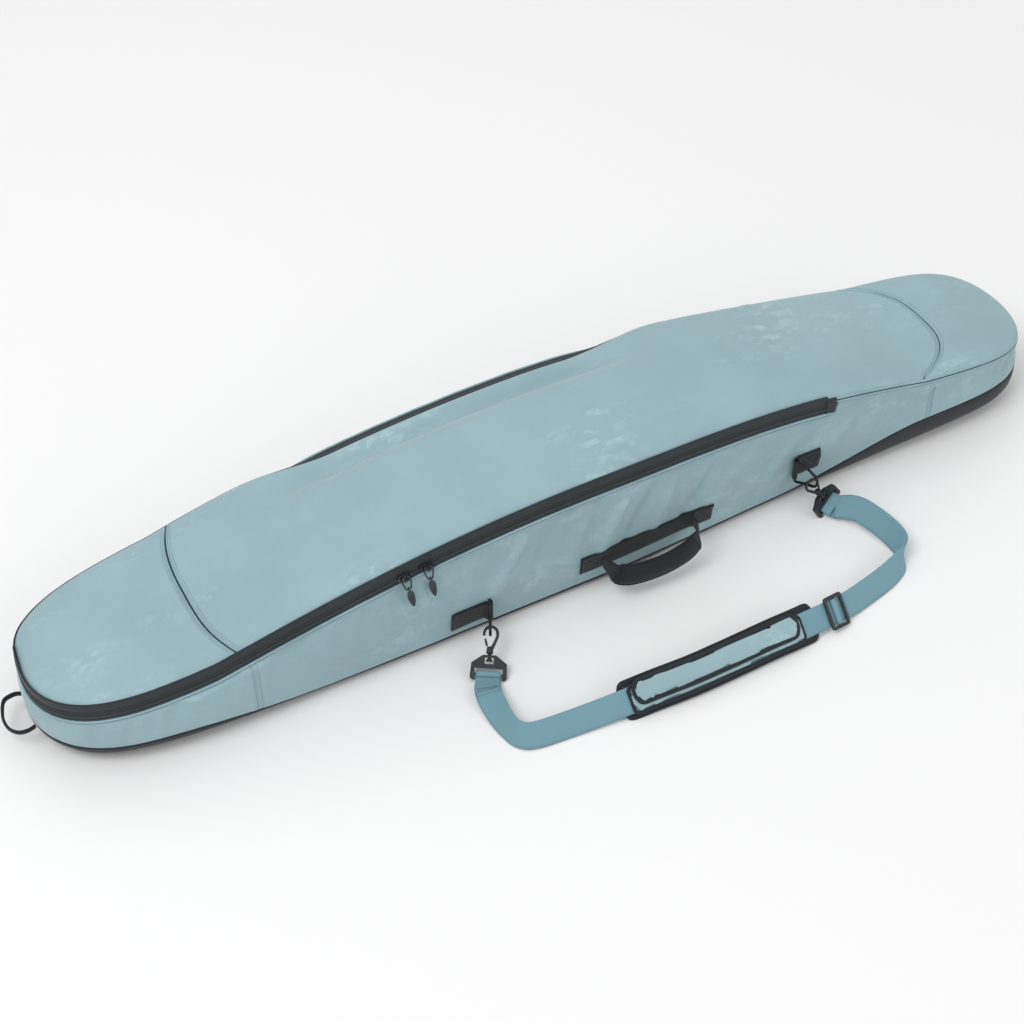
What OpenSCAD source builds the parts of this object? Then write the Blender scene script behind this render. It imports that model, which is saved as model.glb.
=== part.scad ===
// Padded snowboard bag: lofted shell with a zipped lid, carry handle, nose loop
// and a clip-on shoulder strap. Millimetres, +X from nose to tail, +Z up.
// The origin is on the floor under the middle of the bag.

/* [Bag shell] */
// Length of the rim from nose tip to tail tip
bag_len = 1700; // [1600:10:1800]
// Half width of the rim over the nose and middle
half_front = 139; // [130:1:148]
// Half width of the rim over the tail
half_rear = 122; // [115:1:130]
// Height of the rim at the middle
rim_mid = 226; // [216:1:240]
// How far the rim has dropped 610 mm from the middle
rim_drop = 79; // [70:1:86]
// Thickness of the padded walls
wall_t = 8; // [6:1:9]
// Thickness of the padded lid
lid_t = 9; // [7:1:10]
// Height of the rolled lid edge above the rim
roll_h = 17; // [12:1:20]
// Extra crown along the middle of the lid
crown_h = 11; // [6:1:16]

/* [Zip] */
// Distance of the lid hinge line from the middle of the bag
zip_end_x = 415; // [395:1:430]
// Height of the zip band
band_h = 30; // [26:1:34]
// Thickness of the zip tape
tape_t = 1.6; // [1.2:0.1:2]

/* [Webbing] */
// Width of the strap and tab webbing
web_w = 40; // [36:1:42]
// Thickness of the webbing
web_t = 1.6; // [1.4:0.1:2]
// Diameter of the D-ring wire
ring_d = 4.5; // [4:0.1:5]

/* [Hidden] */
$fn = 48;
half_len = bag_len / 2;
band_gap = 1;
fe = 0.955;
teal = [0.55, 0.66, 0.68];
strap_teal = [0.42, 0.58, 0.64];
charcoal = [0.17, 0.19, 0.21];
base_black = [0.09, 0.10, 0.14];
metal = [0.30, 0.31, 0.34];
plastic = [0.13, 0.14, 0.15];
liner = [0.36, 0.38, 0.40];

// ---------- vectors and smooth steps ----------
function mix(a, b, t) = a + (b - a) * t;
function clamp01(t) = min(1, max(0, t));
function smooth(t) = let(c = clamp01(t)) c * c * (3 - 2 * c);
function unit(v) = v / norm(v);
function total(v) = len(v) == 0 ? 0 : v * [for (i = v) 1];
function flat_to(v, s) = unit(v - s * (v * s));
function range_of(a, b, n) = [for (i = [0:n]) mix(a, b, i / n)];

// ---------- the plan outline, a long oval with blunt ends ----------
function power_of(x) = x < 0 ? 10.5 : 19;
function straight_w(x) = half_front - (half_front - half_rear) * smooth(x / 450);
function end_part(x) = pow(abs(x) / half_len, power_of(x));
function edge_w(x, f) = straight_w(x) * sqrt(max(0, f - end_part(x)));
function rim_pt(a) = let(x = half_len * cos(a))
    [x, (sin(a) >= 0 ? -1 : 1) * edge_w(x, 1)];
function rim_n(a) = let(t = unit(rim_pt(a + 0.4) - rim_pt(a - 0.4))) [-t.y, t.x];
function near_a(x) = acos(x / half_len);
function far_a(x) = 360 - near_a(x);

// ---------- heights ----------
function rim_z(x) = let(k = abs(x) / 610) rim_mid - rim_drop * (k < 1 ? k * k : k);
function wrap_z(x) = x < 0
    ? mix(12, 38, smooth((-x - 440) / 260))
    : mix(12, 62, smooth((x - 330) / 290));
function foot_r(x) = mix(20, 40, smooth((abs(x) - 300) / 450));
function foot_in(x) = mix(10, 32, smooth((abs(x) - 300) / 450));

// offset of the outer wall face from the rim outline at height z
function wall_off(x, z) = let(
        top = rim_z(x) - band_h, f = clamp01(z / top), g = clamp01(z / foot_r(x)))
    3 * f + 7 * 4 * f * (1 - f) - foot_in(x) * (1 - sqrt(max(0, 1 - (1 - g) * (1 - g))));
function at(a, off, z) = let(p = rim_pt(a), n = rim_n(a))
    [p.x + n.x * off, p.y + n.y * off, z];
function on_wall(a, z, lift) = at(a, wall_off(rim_pt(a).x, z) + lift, z);

// top surface of the lid and of the fixed tail top
function radial(x, y) = end_part(x) + pow(y / straight_w(x), 2);
// the lid is fullest over the middle and lies flatter towards both ends
function fullness(x) = 1 - 0.6 * smooth((abs(x) - 250) / 350);
function top_z(x, y) = let(f = clamp01(radial(x, y)))
    rim_z(x) + fullness(x) * (roll_h * sqrt(1 - pow(f, 6)) + crown_h * (1 - f));

// ---------- closed meshes ----------
module solid_mesh(pts, tris) {
    vol = total([for (t = tris) pts[t[0]] * cross(pts[t[1]], pts[t[2]])]);
    polyhedron(pts, vol > 0 ? [for (t = tris) [t[2], t[1], t[0]]] : tris, convexity = 8);
}

// rings of equal length joined in order; ends closed with a ladder of cells
module sweep(rings, closed = false) {
    n = len(rings);
    m = len(rings[0]);
    last = (n - 1) * m;
    sides = [for (i = [0:(closed ? n - 1 : n - 2)], j = [0:m - 1])
        let(a = i * m + j, b = i * m + (j + 1) % m,
            c = ((i + 1) % n) * m + (j + 1) % m, d = ((i + 1) % n) * m + j)
        each [[a, b, c], [a, c, d]]];
    caps = closed ? [] : [for (k = [0:m / 2 - 2])
        let(p = k, q = k + 1, r = m - 2 - k, s = m - 1 - k)
        each [[p, r, q], [p, s, r], [last + p, last + q, last + r],
              [last + p, last + r, last + s]]];
    solid_mesh([for (r = rings) each r], concat(sides, caps));
}

// closed loops stacked from first to last, each symmetric about the XZ plane
module stack(loops) {
    n = len(loops);
    m = len(loops[0]);
    last = (n - 1) * m;
    sides = [for (i = [0:n - 2], j = [0:m - 1])
        let(a = i * m + j, b = i * m + (j + 1) % m, c = (i + 1) * m + (j + 1) % m,
            d = (i + 1) * m + j)
        each [[a, b, c], [a, c, d]]];
    h = m / 2;
    caps = [for (k = [0:h - 1], e = [0, last])
        let(p = k, q = k + 1, r = m - 1 - k, s = (m - k) % m)
        each (k == 0 ? [[e + p, e + q, e + r]]
            : k == h - 1 ? [[e + p, e + q, e + s]]
            : [[e + p, e + q, e + r], [e + p, e + r, e + s]])];
    flip = [for (t = caps) t[0] >= last ? t : [t[2], t[1], t[0]]];
    solid_mesh([for (r = loops) each r], concat(sides, flip));
}

// a sheet between two equal grids
module patch(top, bottom) {
    n = len(top);
    m = len(top[0]);
    o = n * m;
    faces = [for (i = [0:n - 2], j = [0:m - 2])
        let(a = i * m + j, b = a + 1, c = a + m + 1, d = a + m)
        each [[a, b, c], [a, c, d], [o + c, o + b, o + a], [o + d, o + c, o + a]]];
    edge_m = [for (i = [0:n - 2]) let(a = i * m, b = a + m, c = a + m - 1, d = b + m - 1)
        each [[a, b, o + b], [a, o + b, o + a], [d, c, o + c], [d, o + c, o + d]]];
    edge_n = [for (j = [0:m - 2]) let(a = j, b = j + 1, c = (n - 1) * m + j, d = c + 1)
        each [[b, a, o + a], [b, o + a, o + b], [c, d, o + d], [c, o + d, o + c]]];
    solid_mesh([for (r = top) each r, for (r = bottom) each r],
        concat(faces, edge_m, edge_n));
}

// a round cord along points
module cord(pts, r, sides = 6, closed = false) {
    n = len(pts);
    rings = [for (i = [0:n - 1])
        let(p = pts[closed ? (i + n - 1) % n : max(0, i - 1)],
            q = pts[closed ? (i + 1) % n : min(n - 1, i + 1)],
            t = unit(q - p), u = unit(cross(t, abs(t.z) > 0.9 ? [1, 0, 0] : [0, 0, 1])),
            v = cross(t, u))
        [for (k = [0:sides - 1])
            pts[i] + r * (u * cos(360 * (k + 0.5) / sides) + v * sin(360 * (k + 0.5) / sides))]];
    sweep(rings, closed);
}

// a flat band along points; each width vector gives the band's width direction
module band(pts, wide, w, lo, hi) {
    n = len(pts);
    rings = [for (i = [0:n - 1])
        let(t = unit(pts[min(n - 1, i + 1)] - pts[max(0, i - 1)]),
            wd = unit(wide[i] - t * (wide[i] * t)), nn = cross(t, wd), h = w[i] / 2)
        [pts[i] - wd * h + nn * lo, pts[i] + wd * h + nn * lo,
         pts[i] + wd * h + nn * hi, pts[i] - wd * h + nn * hi]];
    sweep(rings);
}

// smooth curve through control points, n steps in each span
function spline_at(p, i, t) = let(
        a = p[max(0, i - 1)], b = p[i], c = p[i + 1], d = p[min(len(p) - 1, i + 2)])
    0.5 * ((2 * b) + (c - a) * t + (2 * a - 5 * b + 4 * c - d) * t * t
        + (3 * b - a - 3 * c + d) * t * t * t);
function spline(p, n) = [for (i = [0:len(p) - 2], k = [0:n - 1]) spline_at(p, i, k / n),
    p[len(p) - 1]];

// a round rod between two points
module rod(p, q, r) {
    d = q - p;
    translate(p) rotate([0, acos(d.z / norm(d)), atan2(d.y, d.x)])
        cylinder(h = norm(d), r = r, $fn = 32);
}

// local frame at point o with unit axes a, b and a x b
module frame_at(o, a, b) {
    c = cross(a, b);
    multmatrix([[a.x, b.x, c.x, o.x], [a.y, b.y, c.y, o.y], [a.z, b.z, c.z, o.z],
        [0, 0, 0, 1]]) children();
}

// ---------- base ----------
loop_n = 64;
function full_loop(off, z) = [for (i = [0:loop_n - 1])
    let(a = 360 * i / loop_n) at(a, wall_off(rim_pt(a).x, z) + off, z)];

module base_panel() color(base_black)
    stack([full_loop(0, 0), full_loop(0, 2.5), full_loop(0, 6), full_loop(0, 12),
        full_loop(-4, 12), full_loop(-6, 4)]);

module wrap_strip(a0, a1, n) sweep([for (a = range_of(a0, a1, n))
    let(x = rim_pt(a).x, z0 = 12.3, z1 = wrap_z(x) - 1,
        zs = [z0, mix(z0, z1, 0.35), mix(z0, z1, 0.7), z1])
    concat([for (z = zs) on_wall(a, z, 0)],
        [for (k = [3:-1:0]) on_wall(a, zs[k], -wall_t)])]);
module base_wrap_nose() color(base_black) wrap_strip(near_a(-490), far_a(-490), 38);
module base_wrap_tail() color(base_black) wrap_strip(far_a(370) - 360, near_a(370), 44);

module base_mat() color(liner)
    stack([full_loop(-9.6 - 1.2, 4.4), full_loop(-9.6 - 0.6, 8), full_loop(-9.6 - 2.4, 11.6)]);

// ---------- walls ----------
// the wall stops under the zip band, and behind the zip it rises to the tail top
ramp_x = zip_end_x + 15;
function wall_low(x) = max(12.3, wrap_z(x));
function wall_top(x) = rim_z(x) - mix(band_h + band_gap, 9, smooth((x - ramp_x) / 6));
module wall_strip(angles) sweep([for (a = angles)
    let(x = rim_pt(a).x, z0 = wall_low(x), z1 = wall_top(x),
        zs = [for (k = [0:4]) mix(z0, z1, k / 4)])
    concat([for (z = zs) on_wall(a, z, 0)], [for (k = [4:-1:0]) on_wall(a, zs[k], -wall_t)])]);
module wall_near() color(teal) wall_strip(
    concat(range_of(near_a(619), near_a(ramp_x + 6), 8),
        range_of(near_a(ramp_x), near_a(-557), 20)));
module wall_far() color(teal) wall_strip(
    concat(range_of(far_a(-557), far_a(ramp_x), 20),
        range_of(far_a(ramp_x + 6), far_a(619), 8)));
module wall_nose() color(teal) wall_strip(range_of(near_a(-559), far_a(-559), 30));
module wall_tail() color(teal) wall_strip(range_of(far_a(621) - 360, near_a(621), 28));
module wall_lining() color(liner) sweep([for (i = [0:99])
    let(a = 3.6 * i, x = rim_pt(a).x, z1 = wall_top(x) - 1,
        zs = [12.5, mix(12, z1, 0.4), z1])
    concat([for (z = zs) on_wall(a, z, -wall_t - 2)],
        [for (k = [2:-1:0]) on_wall(a, zs[k], -wall_t - 3)])], true);

// ---------- piping ----------
module rim_piping() color(teal) cord(
    [for (a = range_of(near_a(zip_end_x + 2), far_a(zip_end_x + 2), 48))
    at(a, 3.4, rim_z(rim_pt(a).x) - band_h - band_gap + 2.2)], 1.7);
module tail_piping() color(teal) {
    for (d = [[0.5, -2.1], [1.5, -6.5]])
        cord([for (a = range_of(far_a(ramp_x + 1) - 360, near_a(ramp_x + 1), 22))
            at(a, d[0], rim_z(rim_pt(a).x) + d[1])], 2);
}

// ---------- zip ----------
function zip_z(x) = rim_z(x) - 14;
module tape(z0, z1, o0, o1, x1, n = 46) sweep([for (a = range_of(near_a(x1), far_a(x1), n))
    let(z = rim_z(rim_pt(a).x))
    [at(a, o0, z + z0), at(a, o1, z + z1), at(a, o1 - tape_t, z + z1),
     at(a, o0 - tape_t, z + z0)]]);
module zip_tape_wall() color(charcoal) tape(-band_h + 3.6, -14.9, 3.2, 2.6, zip_end_x - 1);
module zip_tape_lid() color(charcoal) tape(-13.1, 1.5, 2.4, 1.6, zip_end_x - 12);
module coil(dz, x1) cord([for (a = range_of(near_a(x1), far_a(x1), 46))
    at(a, 3.9, zip_z(rim_pt(a).x) + dz)], 0.8, 4);
module zip_coil_wall() color(charcoal) coil(-1.9, zip_end_x - 12);
module zip_coil_lid() color(charcoal) coil(1.9, zip_end_x - 12);
module zip_end(side) {
    as = side < 0 ? range_of(near_a(zip_end_x + 14), near_a(zip_end_x + 0.5), 3)
        : range_of(far_a(zip_end_x + 0.5), far_a(zip_end_x + 14), 3);
    sweep([for (a = as) let(z = rim_z(rim_pt(a).x))
        [at(a, 4.2, z - band_h + 3.4), at(a, 4.2, z - 8.5), at(a, 0.4, z - 8.5),
         at(a, 0.4, z - band_h + 3.4)]]);
}
module zip_end_near() color(charcoal) zip_end(-1);
module zip_end_far() color(charcoal) zip_end(1);

// ---------- top panels ----------
function seam_nose(t) = -603 + 26 * pow(abs(t), 3);
function seam_tail(t) = 690 - 88 * pow(abs(t), 3);
function across(n) = [for (k = [-n:n]) sin(90 * k / n)];
function drop(grid, d) = [for (r = grid) [for (p = r) p - [0, 0, d]]];
function lift_grid(g) = [for (r = g) [for (p = r) [p.x, p.y, top_z(p.x, p.y)]]];
function span_grid(fa, fb, n, f, ts) = [for (i = [0:n]) [for (t = ts)
    let(x = mix(fa[0] + fa[1] * pow(abs(t), 3), fb[0] + fb[1] * pow(abs(t), 3), i / n))
    [x, t * edge_w(x, f), 0]]];
// fan from a line of points out to the rim of an end cap
function tip_x(f, s) = s * half_len * pow(f, 1 / power_of(s));
function cap_grid(x0, xr, s, f, n, ts) = [for (i = [0:n]) [for (t = ts)
    let(c = acos(xr / tip_x(f, s)), q = asin(t) / 90, x2 = tip_x(f, s) * cos(c * q),
        x1 = x0[0] + x0[1] * pow(abs(t), 3),
        p1 = [x1, t * edge_w(x1, f), 0], p2 = [x2, sign(t) * edge_w(x2, f), 0])
    mix(p1, p2, i / n)]];

module lid_nose_panel() color(teal) {
    g = lift_grid(cap_grid([-606, 26], -604, -1, fe, 7, across(8)));
    patch(g, drop(g, lid_t));
}
module lid_centre_panel() color(teal) {
    g = lift_grid(span_grid([-600, 26], [zip_end_x - 2, 0], 18, fe, across(7)));
    patch(g, drop(g, lid_t));
}
module tail_top_panel() color(teal) {
    g = lift_grid(span_grid([zip_end_x + 2, 0], [685.5, -88], 7, fe, across(7)));
    patch(g, drop(g, lid_t));
}
module tail_cap_panel() color(teal) {
    g = lift_grid(cap_grid([694.5, -88], 630, 1, fe, 9, across(9)));
    patch(g, drop(g, lid_t));
}
module lid_lining() color(liner) {
    g = lift_grid(cap_grid([zip_end_x - 6, 0], -560, -1, 0.9, 16, across(7)));
    patch(drop(g, lid_t + 3.6), drop(g, lid_t + 4.8));
}
module tail_lining() color(liner) {
    g = lift_grid(cap_grid([zip_end_x + 6, 0], 600, 1, 0.9, 8, across(7)));
    patch(drop(g, lid_t + 2.5), drop(g, lid_t + 3.7));
}
module seam_cord(c, k, r) cord([for (t = across(12))
    let(x = c + k * pow(abs(t), 3), y = t * edge_w(x, fe - 0.01))
    [x, y, top_z(x, y) - 1.2]], r);
module nose_seam_piping() color(teal) seam_cord(-603, 26, 1.9);
module tail_seam_piping() color(teal) seam_cord(690, -88, 1.5);

// ---------- zip sliders ----------
slider_xa = -321;
slider_xb = -286;
function slider_t(x) = let(a = near_a(x), p = at(a + 0.6, 0, rim_z(rim_pt(a + 0.6).x)),
    q = at(a - 0.6, 0, rim_z(rim_pt(a - 0.6).x))) unit(q - p);
function slider_o(x) = at(near_a(x), 4.7, zip_z(x));
function slider_up(x) = let(t = slider_t(x), n = rim_n(near_a(x)), m = [n.x, n.y, 0])
    unit(cross(m, t));
module slider_frame(x) frame_at(slider_o(x), slider_t(x),
    slider_up(x).z > 0 ? slider_up(x) : -slider_up(x)) children();
pivot_out = 8;
module slider_body(x) slider_frame(x) {
    // plate, rounded at both ends, and the two ears that carry the link
    difference() {
        union() {
            translate([0, 0, 0.8]) linear_extrude(2.8) hull() {
                translate([-5, 0]) circle(r = 6.5);
                translate([7, 0]) circle(r = 4.2);
            }
            for (s = [-1, 1]) translate([s * 4.2 - 1, -3.4, 3]) cube([2, 6.8, pivot_out - 0.6]);
        }
        translate([-20, 0, pivot_out]) rotate([0, 90, 0]) cylinder(h = 40, r = 1.5);
    }
}
function pivot_of(x) = let(t = slider_t(x), u = slider_up(x), v = u.z > 0 ? u : -u)
    slider_o(x) + cross(t, v) * pivot_out;
// the link and the pull hang straight down from the pivot
module hang(x) let(n = rim_n(near_a(x)))
    frame_at(pivot_of(x), slider_t(x), [-n.x, -n.y, 0]) rotate([-4, 0, 0]) children();
link_len = 21;
module across_rod(half, z, r) translate([-half, 0, z]) rotate([0, 90, 0])
    cylinder(h = 2 * half, r = r, $fn = 32);
module link(x) color(metal) hang(x) {
    across_rod(7.6, 0, 1.1);
    across_rod(4.4, -link_len, 1.1);
    for (s = [0, 1]) mirror([s, 0, 0]) rotate([90, 0, 0]) translate([0, 0, -1.1])
        linear_extrude(2.2) polygon([[5.5, 1.1], [7.6, 1.1], [7.6, -8], [4.9, -link_len - 1.1],
            [2.8, -link_len - 1.1], [5.4, -8]]);
}
module pull(x) color(plastic) hang(x) {
    difference() {
        translate([-1.2, 0, -link_len]) rotate([0, 90, 0]) cylinder(h = 2.4, r = 3.6, $fn = 32);
        across_rod(9, -link_len, 1.6);
    }
    rotate([90, 0, 0]) translate([0, 0, -1.7]) linear_extrude(3.4)
        polygon([for (k = [0:23]) let(a = 15 * k)
            [5.6 * sin(a) * (1 + 0.25 * cos(a)), -link_len - 20.4 + 17.4 * cos(a)]]);
}
module slider_a() color(metal) slider_body(slider_xa);
module slider_b() color(metal) slider_body(slider_xb);
module link_a() link(slider_xa);
module link_b() link(slider_xb);
module pull_a() pull(slider_xa);
module pull_b() pull(slider_xb);

// ---------- carry handle ----------
module wall_tape(x0, x1, z0, z1, lo, hi, n) sweep([for (x = range_of(x0, x1, n))
    let(a = near_a(x), zs = [z0, mix(z0, z1, 0.5), z1])
    concat([for (z = zs) on_wall(a, z, hi)], [for (k = [2:-1:0]) on_wall(a, zs[k], lo)])]);
// one length of webbing, doubled where it is sewn down at both ends
handle_web_x = [-33, -16, 1, 2, 23, 44, 65, 85, 105, 126, 147, 168, 169, 186, 203];
module handle_web() color(plastic) sweep([for (x = handle_web_x)
    let(a = near_a(x), zs = [42, 61, 80], hi = x <= 1 || x >= 169 ? 3.6 : 2)
    concat([for (z = zs) on_wall(a, z, hi)], [for (k = [2:-1:0]) on_wall(a, zs[k], 0.4)])]);
handle_pts = [[9, -155, 58], [7, -168, 58], [13, -181, 54], [38, -188, 48], [85, -190, 45],
    [130, -187, 50], [155, -179, 58], [163, -167, 61], [161, -155, 61]];
handle_wide = [for (i = [0:8]) [0, 0.28, 0.96]];
function grip_w(k) = mix(9, 32, smooth(k / 6));
module handle_grip() color(plastic) {
    p = spline(handle_pts, 3);
    w = spline(handle_wide, 3);
    n = len(p) - 1;
    for (s = [0, n - 6]) band([for (i = [0:6]) p[s + i]], [for (i = [0:6]) w[s + i]],
        [for (i = [0:6]) grip_w(s == 0 ? i : 6 - i)], -0.8, 0.8);
}
module handle_sleeve() color(plastic) {
    p = spline(handle_pts, 3);
    n = len(p) - 1;
    q = [for (i = [6:n - 6]) p[i] + (i == 6 ? unit(p[7] - p[6]) * 1.3
        : i == n - 6 ? unit(p[n - 7] - p[n - 6]) * 1.3 : [0, 0, 0])];
    sweep([for (i = [0:len(q) - 1])
        let(t = unit(q[min(len(q) - 1, i + 1)] - q[max(0, i - 1)]),
            wd = flat_to([0, 0.28, 0.96], t), nn = cross(t, wd))
        [for (k = [0:11]) q[i] + wd * 17 * cos(30 * k + 15) + nn * 6 * sin(30 * k + 15)]]);
}

// ---------- nose loop ----------
loop_pts = [[-852.4, 40.6, 34], [-863, 43.8, 34], [-880, 39, 33], [-892, 16, 32], [-892, -8, 31.5],
    [-882, -23, 31], [-868, -26.5, 31], [-856.2, -23.6, 31]];
module nose_loop() color(plastic) cord(spline(loop_pts, 4), 3.6, 8);

// ---------- anchor tabs and D-rings ----------
// [bar centre, heading of the ring, patch from, patch to, patch low, patch high]
tab_l = [[-190, -152.5, 52], 243, -252, -190, 31, 73];
tab_r = [[358, -139.5, 78], 286, 358, 405, 57, 99];
ring_h = 42;
arc_r = 13;
arc_x = 31;
module tab(t) color(plastic) {
    wall_tape(t[2], t[3], t[4], t[5], 0.4, 3.4, 4);
    translate([t[0].x, t[0].y, t[4]]) difference() {
        cylinder(h = t[5] - t[4], r = 4.6);
        translate([0, 0, -1]) cylinder(h = 60, r = 3.1);
    }
}
module tab_left() tab(tab_l);
module tab_right() tab(tab_r);
// rounded triangle of wire; the bar stands upright in the tab's loop
module ring(t) color(metal) translate(t[0]) rotate([0, 0, t[1]]) {
    r = ring_d / 2;
    h = ring_h / 2 + 4;
    translate([0, 0, -h - r]) cylinder(h = 2 * (h + r), r = r);
    rotate([90, 0, 0]) translate([0, 0, -r]) linear_extrude(ring_d) difference() {
        hull() {
            translate([arc_x, 0]) circle(r = arc_r + r);
            for (s = [-1, 1]) translate([1, s * h]) circle(r = r);
        }
        hull() {
            translate([arc_x, 0]) circle(r = arc_r - r);
            for (s = [-1, 1]) translate([-8, s * (h + 3.4)]) circle(r = 0.5);
        }
        translate([-20, -50]) square([20, 100]);
    }
}
module ring_left() ring(tab_l);
module ring_right() ring(tab_r);
function ring_eye(t) = t[0] + arc_x * [cos(t[1]), sin(t[1]), 0];
eye_l = ring_eye(tab_l);
eye_r = ring_eye(tab_r);
swing_axis = unit(eye_r - eye_l);

// ---------- snap hooks ----------
shank_l = unit([-0.40, -0.62, -0.60]);
shank_r = unit([0.52, -0.10, -0.80]);
wide_l = [0.86, -0.5, -0.05];
wide_r = [0.80, 0.30, 0.52];
// each shank stands a little to the side of its eye, so the bow runs freely on the ring
hook_l = eye_l + 2 * flat_to(swing_axis, shank_l);
hook_r = eye_r - 5 * flat_to(swing_axis, shank_r);
module hook_frame(eye, s) frame_at(eye, s, flat_to(swing_axis, s)) children();
module slot_frame(eye, s, w) frame_at(eye, s, flat_to(w, s)) children();
module hook() {
    // back, bow and tip of the hook, then the neck and the head of the swivel
    translate([0, 0, -2.2]) linear_extrude(4.4) difference() {
        hull() {
            translate([11, 0]) circle(r = 13);
            translate([31, -5.2]) square([6, 10.4]);
        }
        hull() {
            translate([11, 0]) circle(r = 8);
            translate([29, -1.2]) square([1, 3]);
        }
        polygon([[16.5, -20], [16.5, -4], [31.6, -0.6], [31.6, -20]]);
    }
    translate([36, 0, 0]) rotate([0, 90, 0]) cylinder(h = 5, r = 5.2);
    translate([40, 0, 0]) rotate([0, 90, 0]) cylinder(h = 9, r = 2.9);
    translate([48.6, 0, 0]) rotate([0, 90, 0]) cylinder(h = 4, r = 4.6);
}
// the sprung gate, hinged at its end nearest the swivel
gate_from = [30.2, -4.7, 0];
gate_to = [18.2, -8.5, 0];
module gate() rod(gate_from, gate_to, 1.8);
module clip_base() {
    difference() {
        translate([0, 0, -3]) linear_extrude(6) difference() {
            offset(r = 2.5) polygon([[45, -9], [45, 9], [56, 24], [75, 25], [77, 23.5], [77, -23.5],
                [75, -25], [56, -24]]);
            translate([46.8, -6.5]) square([9, 13]);
            translate([62.5, -21]) square([7.5, 42]);
            translate([73.2, -21]) square([10, 42]);
        }
        translate([38, 0, 0]) rotate([0, 90, 0]) cylinder(h = 12, r = 3.2);
    }
}
module hook_left() color(plastic) hook_frame(hook_l, shank_l) hook();
module gate_left() color(metal) hook_frame(hook_l, shank_l) gate();
module clip_base_left() color(plastic) slot_frame(hook_l, shank_l, wide_l) clip_base();
module hook_right() color(plastic) hook_frame(hook_r, shank_r) mirror([0, 1, 0]) hook();
module gate_right() color(metal) hook_frame(hook_r, shank_r) mirror([0, 1, 0]) gate();
module clip_base_right() color(plastic) slot_frame(hook_r, shank_r, wide_r) clip_base();

// ---------- shoulder strap ----------
// the slot bar of each clip base is 71.6 mm down its shank
bar_l = hook_l + 71.6 * shank_l;
bar_r = hook_r + 71.6 * shank_r;
strap_l = [bar_l + 6.4 * shank_l, [-250, -262, 15], [-254, -292, 15], [-254, -326, 15.5], [-247, -351, 16],
    [-226, -364, 16], [-168, -370, 16], [-105, -376, 20]];
strap_m = [[-42, -382, 27], [26, -386, 29], [93, -385, 29], [159, -383, 29], [222, -381, 27]];
strap_r = [[296, -373, 20], [347, -362, 16], [398, -349, 16], [432, -334, 17], [446, -315, 18],
    [450, -285, 19], [443, -245, 20], [430, -212, 21], bar_r + 15 * flat_to([0.15, -0.98, 0.05], wide_r)];
strap_pts = concat(strap_l, strap_m, strap_r);
wide_a = [wide_l, [0.86, -0.4, 0.2], [0.75, -0.05, 0.45], [0.5, 0.4, 0.62], [0.28, 0.6, 0.68],
    [0.2, 0.66, 0.7], [0.05, 0.7, 0.7], [0, 0.7, 0.7]];
wide_b = [for (i = [0:4]) [0, 0.7, 0.7]];
wide_c = [[0, 0.7, 0.7], [-0.05, 0.7, 0.7], [-0.08, 0.66, 0.72], [0.1, 0.55, 0.78], [0.4, 0.4, 0.75],
    [0.62, 0.2, 0.7], [0.72, 0.2, 0.62], [0.78, 0.28, 0.55], wide_r];
strap_wide = concat(wide_a, wide_b, wide_c);
sp = spline(strap_pts, 4);
sw = spline(strap_wide, 4);
// the ends are drawn in a little where they pass through the clip bases
module strap_web() color(strap_teal) band(sp, sw, [for (i = [0:len(sp) - 1])
    web_w - 2.6 * smooth((5 - min(i, len(sp) - 1 - i)) / 3)], -web_t / 2, web_t / 2);

// folded end of the webbing round the slot bar
module clip_fold(eye, s, w) {
    wd = flat_to(w, s);
    translate(eye + 71.6 * s) difference() {
        rod(-wd * web_w / 2, wd * web_w / 2, 5.4);
        rod(-wd * 30, wd * 30, 3.9);
        frame_at([0, 0, 0], s, wd) translate([0, -40, -20]) cube([20, 80, 40]);
    }
}
module web_fold_left() color(strap_teal) clip_fold(hook_l, shank_l, wide_l);
module web_fold_right() color(strap_teal) clip_fold(hook_r, shank_r, wide_r);

// shoulder pad: a back cushion and two flaps that wrap the webbing
pad_from = 29;
pad_to = 49;
function pad_ring(i, w, lo, hi, shift) = let(
        t = unit(sp[i + 1] - sp[i - 1]), wd = unit(sw[i] - t * (sw[i] * t)), nn = cross(t, wd),
        c = sp[i] + wd * shift)
    [c - wd * w / 2 + nn * (lo + hi) / 2, c - wd * (w / 2 - 2) + nn * lo, c + wd * (w / 2 - 2) + nn * lo,
     c + wd * w / 2 + nn * (lo + hi) / 2, c + wd * (w / 2 - 2) + nn * hi, c - wd * (w / 2 - 2) + nn * hi];
module pad_strip(a, b, w, lo, hi, shift) sweep([for (i = [a:b])
    let(r = pad_ring(i, w, lo, hi, shift)) [r[0], r[1], r[2], r[3], r[4], r[5]]]);
module pad_back() color(charcoal) pad_strip(pad_from, pad_to, 56, -8.4, -1.4, 0);
module pad_flap_lower() color(teal) pad_strip(pad_from, pad_to - 1, 50, 1.4, 4.6, -3);
module pad_flap_upper() color(teal) pad_strip(pad_from + 1, pad_to - 2, 38, 5.2, 9, 8);

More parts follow.
